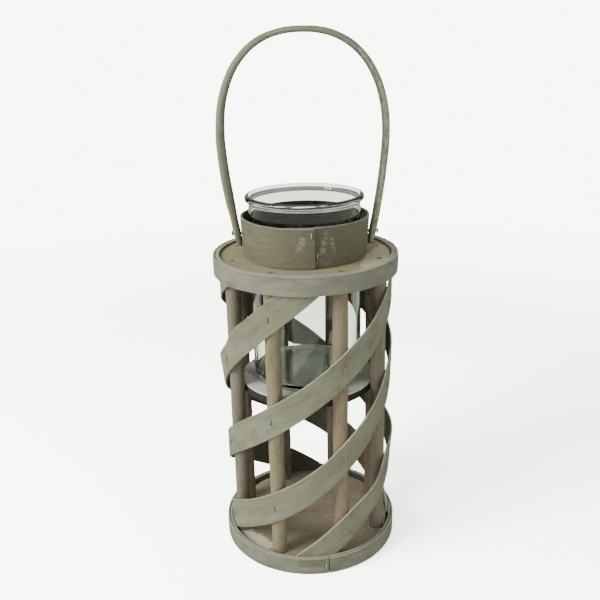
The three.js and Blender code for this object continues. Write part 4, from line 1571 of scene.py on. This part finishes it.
@dataclass
class Fasteners:
    """Staples, nails and rivets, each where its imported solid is."""

    wire: float = 1.2 * MM
    staple_corner: float = 1.1 * MM
    wire_points: int = 12
    brad_head: float = 1.2 * MM
    brad_length: float = 12.0 * MM
    brad_shank: float = 0.5 * MM
    brad_angles: tuple[float, ...] = (-29.0, 52.0, 128.0, -142.0, -96.0)
    brad_levels: dict[str, float] = field(default_factory=lambda: {
        "base_hoop": 0.66, "top_hoop": 0.4,
    })
    nail_shank: float = 0.9 * MM
    nail_head: float = 0.8 * MM
    rivet_shank: float = 1.5 * MM
    rivet_head: float = 1.2 * MM
    rivet_tail: float = 2.4 * MM

    def build(self) -> None:
        """Makes every staple, nail, rivet and brad."""
        for node in sorted(name for name in frame["nodes"] if "_staple" in name):
            self.staple(node, WASHED_STEEL if node.startswith("slat_") else BRIGHT_STEEL)
        for number, node in enumerate(nodes_named("top_nail_")):
            self.nail(node, 600 + number)
        for node in nodes_named("handle_rivet_"):
            self.rivet(node)
        for hoop, level in self.brad_levels.items():
            for number, angle in enumerate(self.brad_angles):
                self.brad(f"{hoop}_brad_{number + 1}", f"{hoop}_outer", angle, level)

    def metal(self, name: str, points: np.ndarray, finish: SteelFinish, body: Body, *nodes: str) -> None:
        """Closes one fastener's surface, dresses it in steel and puts it on its body."""
        hand_over(make_shell(name, points, {}, crease=50.0), finish, Slot.STEEL, body, *nodes)

    def staple_path(self, ring: Ring) -> tuple[np.ndarray, np.ndarray]:
        """The wire's middle line in the staple's own plane.

        In along the upper leg, round a corner, down the crown, round a corner and out along the
        lower leg. The corners are quarter circles.

        Args:
            ring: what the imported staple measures.

        Returns:
            Distances from the axis and heights as (n, 2), and the directions out of the bend.
        """
        half = self.wire / 2
        crown = ring.outer - half
        top, bottom = ring.high - half, ring.low + half
        soft = self.staple_corner
        upper = arc((crown - soft, top - soft), soft, 90.0, 0.0, 8)
        lower = arc((crown - soft, bottom + soft), soft, 0.0, -90.0, 8)
        first = line((ring.inner, top), (crown - soft, top), 6)
        last = line((crown - soft, bottom), (ring.inner, bottom), 6)[1:]
        path = np.concatenate([first, upper, lower, last, [[ring.inner, bottom]]])
        tangent = np.gradient(path, axis=0)
        tangent /= np.linalg.norm(tangent, axis=1, keepdims=True)
        return path, np.stack([-tangent[:, 1], tangent[:, 0]], axis=1)

    def staple(self, node: str, finish: SteelFinish) -> None:
        """Makes one staple: a soft square of wire carried along its path.

        Args:
            node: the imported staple.
            finish: what it is finished with.
        """
        ring = Ring.of(node)
        path, bend = self.staple_path(ring)
        turn = np.linspace(0.0, 2.0 * np.pi, self.wire_points, endpoint=False)[None, :]
        out = self.wire / 2 * signed_power(np.cos(turn), 0.7)
        side = self.wire / 2 * signed_power(np.sin(turn), 0.7)
        place = path[:, None, :] + bend[:, None, :] * out[..., None]
        radial, sideways = directions(ring.angle)
        points = place[..., :1] * radial + side[..., None] * sideways + place[..., 1:] * UP
        self.metal(node, points, finish, Body.FRAME, node)

    def nail(self, node: str, seed: int) -> None:
        """Makes one nail: a point, a round shank and a domed head that the hammer has marked.

        Args:
            node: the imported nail.
            seed: chooses the hammer's marks.
        """
        low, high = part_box(node)
        head, shank = (high.x - low.x) / 2, self.nail_shank
        rim, tip = high.z - self.nail_head, low.z + 2 * shank
        across = np.linspace(1.0, 0.08, 9)
        dome = np.stack([head * 0.97 * across, rim + 0.35 * MM + 0.45 * MM * (1.0 - across**2)], axis=1)
        profile = np.concatenate([
            line((0.15 * MM, low.z), (shank, tip), 3),
            line((shank, tip), (shank, rim), 5),
            np.array([(head * 0.92, rim), (head, rim + 0.12 * MM)]),
            dome,
        ])
        points, _ = turned(profile, 26)
        marks = Ripple(seed).sheet(points[..., 0], points[..., 1], (3 * MM, 3 * MM), 0.09 * MM)
        points[..., 2] += marks * (points[..., 2] > rim + 0.3 * MM)
        points[..., :2] += ((low + high) / 2)[:2]
        self.metal(node, points, NAIL_STEEL, Body.FRAME, node)

    def brad(self, name: str, hoop: str, angle: float, level: float) -> None:
        """Makes one headed brad, driven through a hoop into the board behind it.

        Args:
            name: the brad's name.
            hoop: the outer layer of the hoop.
            angle: where it is round the lantern.
            level: the share of the way up the hoop.
        """
        ring = Ring.of(hoop)
        across = np.linspace(1.0, 0.08, 6)
        face = ring.outer + 0.12 * MM
        tip, shank = face - self.brad_length, self.brad_shank
        profile = np.concatenate([
            np.array([(0.1 * MM, tip), (shank, tip + 1.5 * MM), (shank, face - 0.6 * MM),
                      (self.brad_head, face - 0.5 * MM)]),
            np.stack([self.brad_head * across, face + 0.25 * MM * (1.0 - across**2)], axis=1),
        ])
        points, _ = turned(profile, 16)
        radial, sideways = directions(angle)
        height = points[..., 1:2] + ring.low + level * (ring.high - ring.low)
        points = points[..., 2:] * radial + points[..., :1] * sideways + height * UP
        self.metal(name, points, NAIL_STEEL, Body.FRAME)

    def rivet(self, node: str) -> None:
        """Makes one rivet through the collar and a leg: small head inside, domed head outside.

        Args:
            node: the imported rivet.
        """
        low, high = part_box(node)
        side = 1.0 if low.x > 0.0 else -1.0
        near, far = sorted((abs(low.x), abs(high.x)))
        head, tail, shank, thick = (high.z - low.z) / 2, self.rivet_tail, self.rivet_shank, self.rivet_head
        across = np.linspace(1.0, 0.06, 10)
        profile = np.concatenate([
            np.array([(0.3 * MM, near), (tail * 0.8, near), (tail, near + 0.3 * MM),
                      (tail, near + thick), (shank, near + thick)]),
            line((shank, near + thick + 0.2 * MM), (shank, far - thick), 4),
            np.array([(shank, far - thick), (head * 0.96, far - thick)]),
            np.stack([head * across, far - thick * 0.75 * across**2], axis=1),
        ])
        points, _ = turned(profile, 32)
        height = points[..., 1] + (low.z + high.z) / 2
        points = np.stack([points[..., 2] * side, points[..., 0], height], axis=-1)
        body = next(name for name, nodes in frame["record"]["behaviour"]["bodies"].items() if node in nodes)
        self.metal(node, points, BRIGHT_STEEL, Body(body), node)


# ---------------------------------------------------------------- studio


@dataclass(frozen=True)
class Lamp:
    """A square lamp that faces the lantern's middle."""

    name: str
    place: tuple[float, float, float]
    side: float
    power: float
    color: Color

    def build(self) -> None:
        """Hangs the lamp in its place and turns it towards the lantern's middle."""
        data = bpy.data.lights.new(self.name, "AREA")
        data.energy, data.size, data.color = self.power, self.side, self.color
        lamp = bpy.data.objects.new(self.name, data)
        turn = (Vector((0.0, 0.0, 0.22)) - Vector(self.place)).to_track_quat("-Z", "Y")
        lamp.matrix_world = Matrix.Translation(self.place) @ turn.to_matrix().to_4x4()
        bpy.context.scene.collection.objects.link(lamp)


@dataclass
class Studio:
    """A pale floor that fades into a pale room, soft light from the left, and the camera."""

    place: tuple[float, float, float] = (0.0, -0.7135, 0.5055)
    pitch: float = 19.10
    yaw: float = -0.498
    roll: float = -1.285
    lens: float = 45.456
    room: Color = (8.2, 8.25, 7.8)
    behind_glass: Color = (3.3, 3.5, 2.95)
    ceiling: Color = (0.25, 0.28, 0.24)
    room_light: Color = (0.54, 0.56, 0.54)
    floor: Color = (0.8, 0.8, 0.77)
    floor_gain: float = 9.0
    glass_loss: float = 0.6
    floor_rings: tuple[float, ...] = (0.02, 0.2, 0.6, 1.2, 2.4)
    floor_drop: float = 0.2 * MM
    floor_fade: tuple[float, float] = (0.55, 1.5)
    lamps: tuple[Lamp, ...] = (
        Lamp("key", (-1.25, -0.7, 0.95), 0.75, 27.0, (1.0, 0.985, 0.94)),
        Lamp("fill", (1.1, -1.0, 0.85), 1.0, 3.2, (0.95, 0.98, 1.0)),
    )

    def build(self) -> None:
        """Sets up the room, the floor, the lights and the camera."""
        self.camera()
        self.world()
        self.floor_disc()
        for lamp in self.lamps:
            lamp.build()
        LOG.info("studio ready")

    def camera(self) -> None:
        """Places the camera: looking down by the pitch, turned by the yaw, then rolled."""
        pitch, yaw, roll = (math.radians(angle) for angle in (self.pitch, self.yaw, self.roll))
        ahead = Vector((math.sin(yaw) * math.cos(pitch), math.cos(yaw) * math.cos(pitch), -math.sin(pitch)))
        right = ahead.cross(Vector((0.0, 0.0, 1.0))).normalized()
        up = right.cross(ahead)
        across = right * math.cos(roll) + up * math.sin(roll)
        above = up * math.cos(roll) - right * math.sin(roll)
        data = bpy.data.cameras.new("camera")
        data.lens, data.sensor_width, data.clip_start = self.lens, 36.0, 0.01
        camera = bpy.data.objects.new("camera", data)
        turn = Matrix((across, above, -ahead)).transposed().to_4x4()
        camera.matrix_world = Matrix.Translation(self.place) @ turn
        bpy.context.scene.collection.objects.link(camera)
        bpy.context.scene.camera = camera

    @staticmethod
    def seen(graph: Graph) -> Socket:
        """1 for what is looked at straight or through glass, and 0 for what only lights."""
        path = graph.add("ShaderNodeLightPath").outputs
        looked_at = graph.math("MAXIMUM", path["Is Camera Ray"], path["Is Transmission Ray"])
        bounces = graph.math("ADD", path["Diffuse Depth"], path["Glossy Depth"])
        return graph.scaled(looked_at, graph.math("LESS_THAN", bounces, 0.5))

    def world(self) -> None:
        """A room that lights softly and is seen as nearly white."""
        world = bpy.data.worlds.new("room")
        world.use_nodes = True
        world.node_tree.nodes.clear()
        graph = Graph(world.node_tree)
        direction = graph.add("ShaderNodeTexCoord").outputs["Generated"]
        height = graph.add("ShaderNodeSeparateXYZ", {0: direction}).outputs["Z"]
        bent = graph.add("ShaderNodeLightPath").outputs["Is Transmission Ray"]
        through = graph.mix(graph.ramp(height, -0.3, 0.0), self.behind_glass, self.ceiling)
        backdrop = graph.mix(bent, self.room, through)
        color = graph.mix(self.seen(graph), self.room_light, backdrop)
        background = graph.add("ShaderNodeBackground", {"Color": color})
        graph.add("ShaderNodeOutputWorld", {"Surface": background.outputs[0]})
        bpy.context.scene.world = world

    def floor_disc(self) -> None:
        """A disc that turns from floor into room between two distances from the middle."""
        turn = np.linspace(0.0, 2.0 * np.pi, 96, endpoint=False)
        reach = np.array(self.floor_rings)[:, None]
        level = np.full_like(reach * turn, -self.floor_drop)
        rings = np.stack([reach * np.cos(turn), reach * np.sin(turn), level], axis=-1)
        rows, columns, _ = rings.shape
        index = np.arange(rows * columns).reshape(rows, columns)
        beside = np.roll(index, -1, axis=1)
        quads = np.stack([index[:-1], index[1:], beside[1:], beside[:-1]], axis=-1).reshape(-1, 4)
        centre = np.stack([np.full(columns, rows * columns), beside[0], index[0]], axis=-1)
        points = np.concatenate([rings.reshape(-1, 3), [[0.0, 0.0, -self.floor_drop]]])
        floor = bpy.data.objects.new("floor", mesh_of("floor", points, quads, centre))
        bpy.context.scene.collection.objects.link(floor)
        floor.data.materials.append(self.floor_material())

    def floor_material(self) -> bpy.types.Material:
        """A matt floor, brighter to the eye than the light that it gives, which fades out."""
        material, graph, shader = new_material("floor")
        material.node_tree.nodes.remove(shader)
        place = graph.add("ShaderNodeTexCoord").outputs["Object"]
        away = graph.add("ShaderNodeVectorMath", {0: place}, operation="LENGTH").outputs["Value"]
        bent = graph.add("ShaderNodeLightPath").outputs["Is Transmission Ray"]
        share = graph.math("SUBTRACT", 1.0, graph.scaled(bent, self.glass_loss))
        seen = graph.scaled(self.seen(graph), share)
        gain = graph.math("ADD", 1.0, graph.scaled(seen, self.floor_gain - 1.0))
        bright = graph.add("ShaderNodeVectorMath", {0: self.floor, "Scale": gain}, operation="SCALE")
        matt = graph.add("ShaderNodeBsdfDiffuse", {"Color": bright.outputs[0]})
        clear = graph.add("ShaderNodeBsdfTransparent")
        fade = graph.ramp(away, *self.floor_fade)
        mixed = graph.add("ShaderNodeMixShader", {0: fade, 1: matt.outputs[0], 2: clear.outputs[0]})
        output = next(node for node in graph.tree.nodes if node.type == "OUTPUT_MATERIAL")
        graph.join(mixed.outputs[0], output.inputs["Surface"])
        return material


def main() -> None:
    """Builds the studio and every sub-assembly of the lantern, from the boards outwards."""
    logging.basicConfig(level=logging.INFO, format="%(name)s: %(message)s")
    for assembly in (Studio, Boards, Posts, Slats, Hoops, Collar, Jar, Handle, Fasteners):
        assembly().build()


if __name__ == "__main__":
    main()
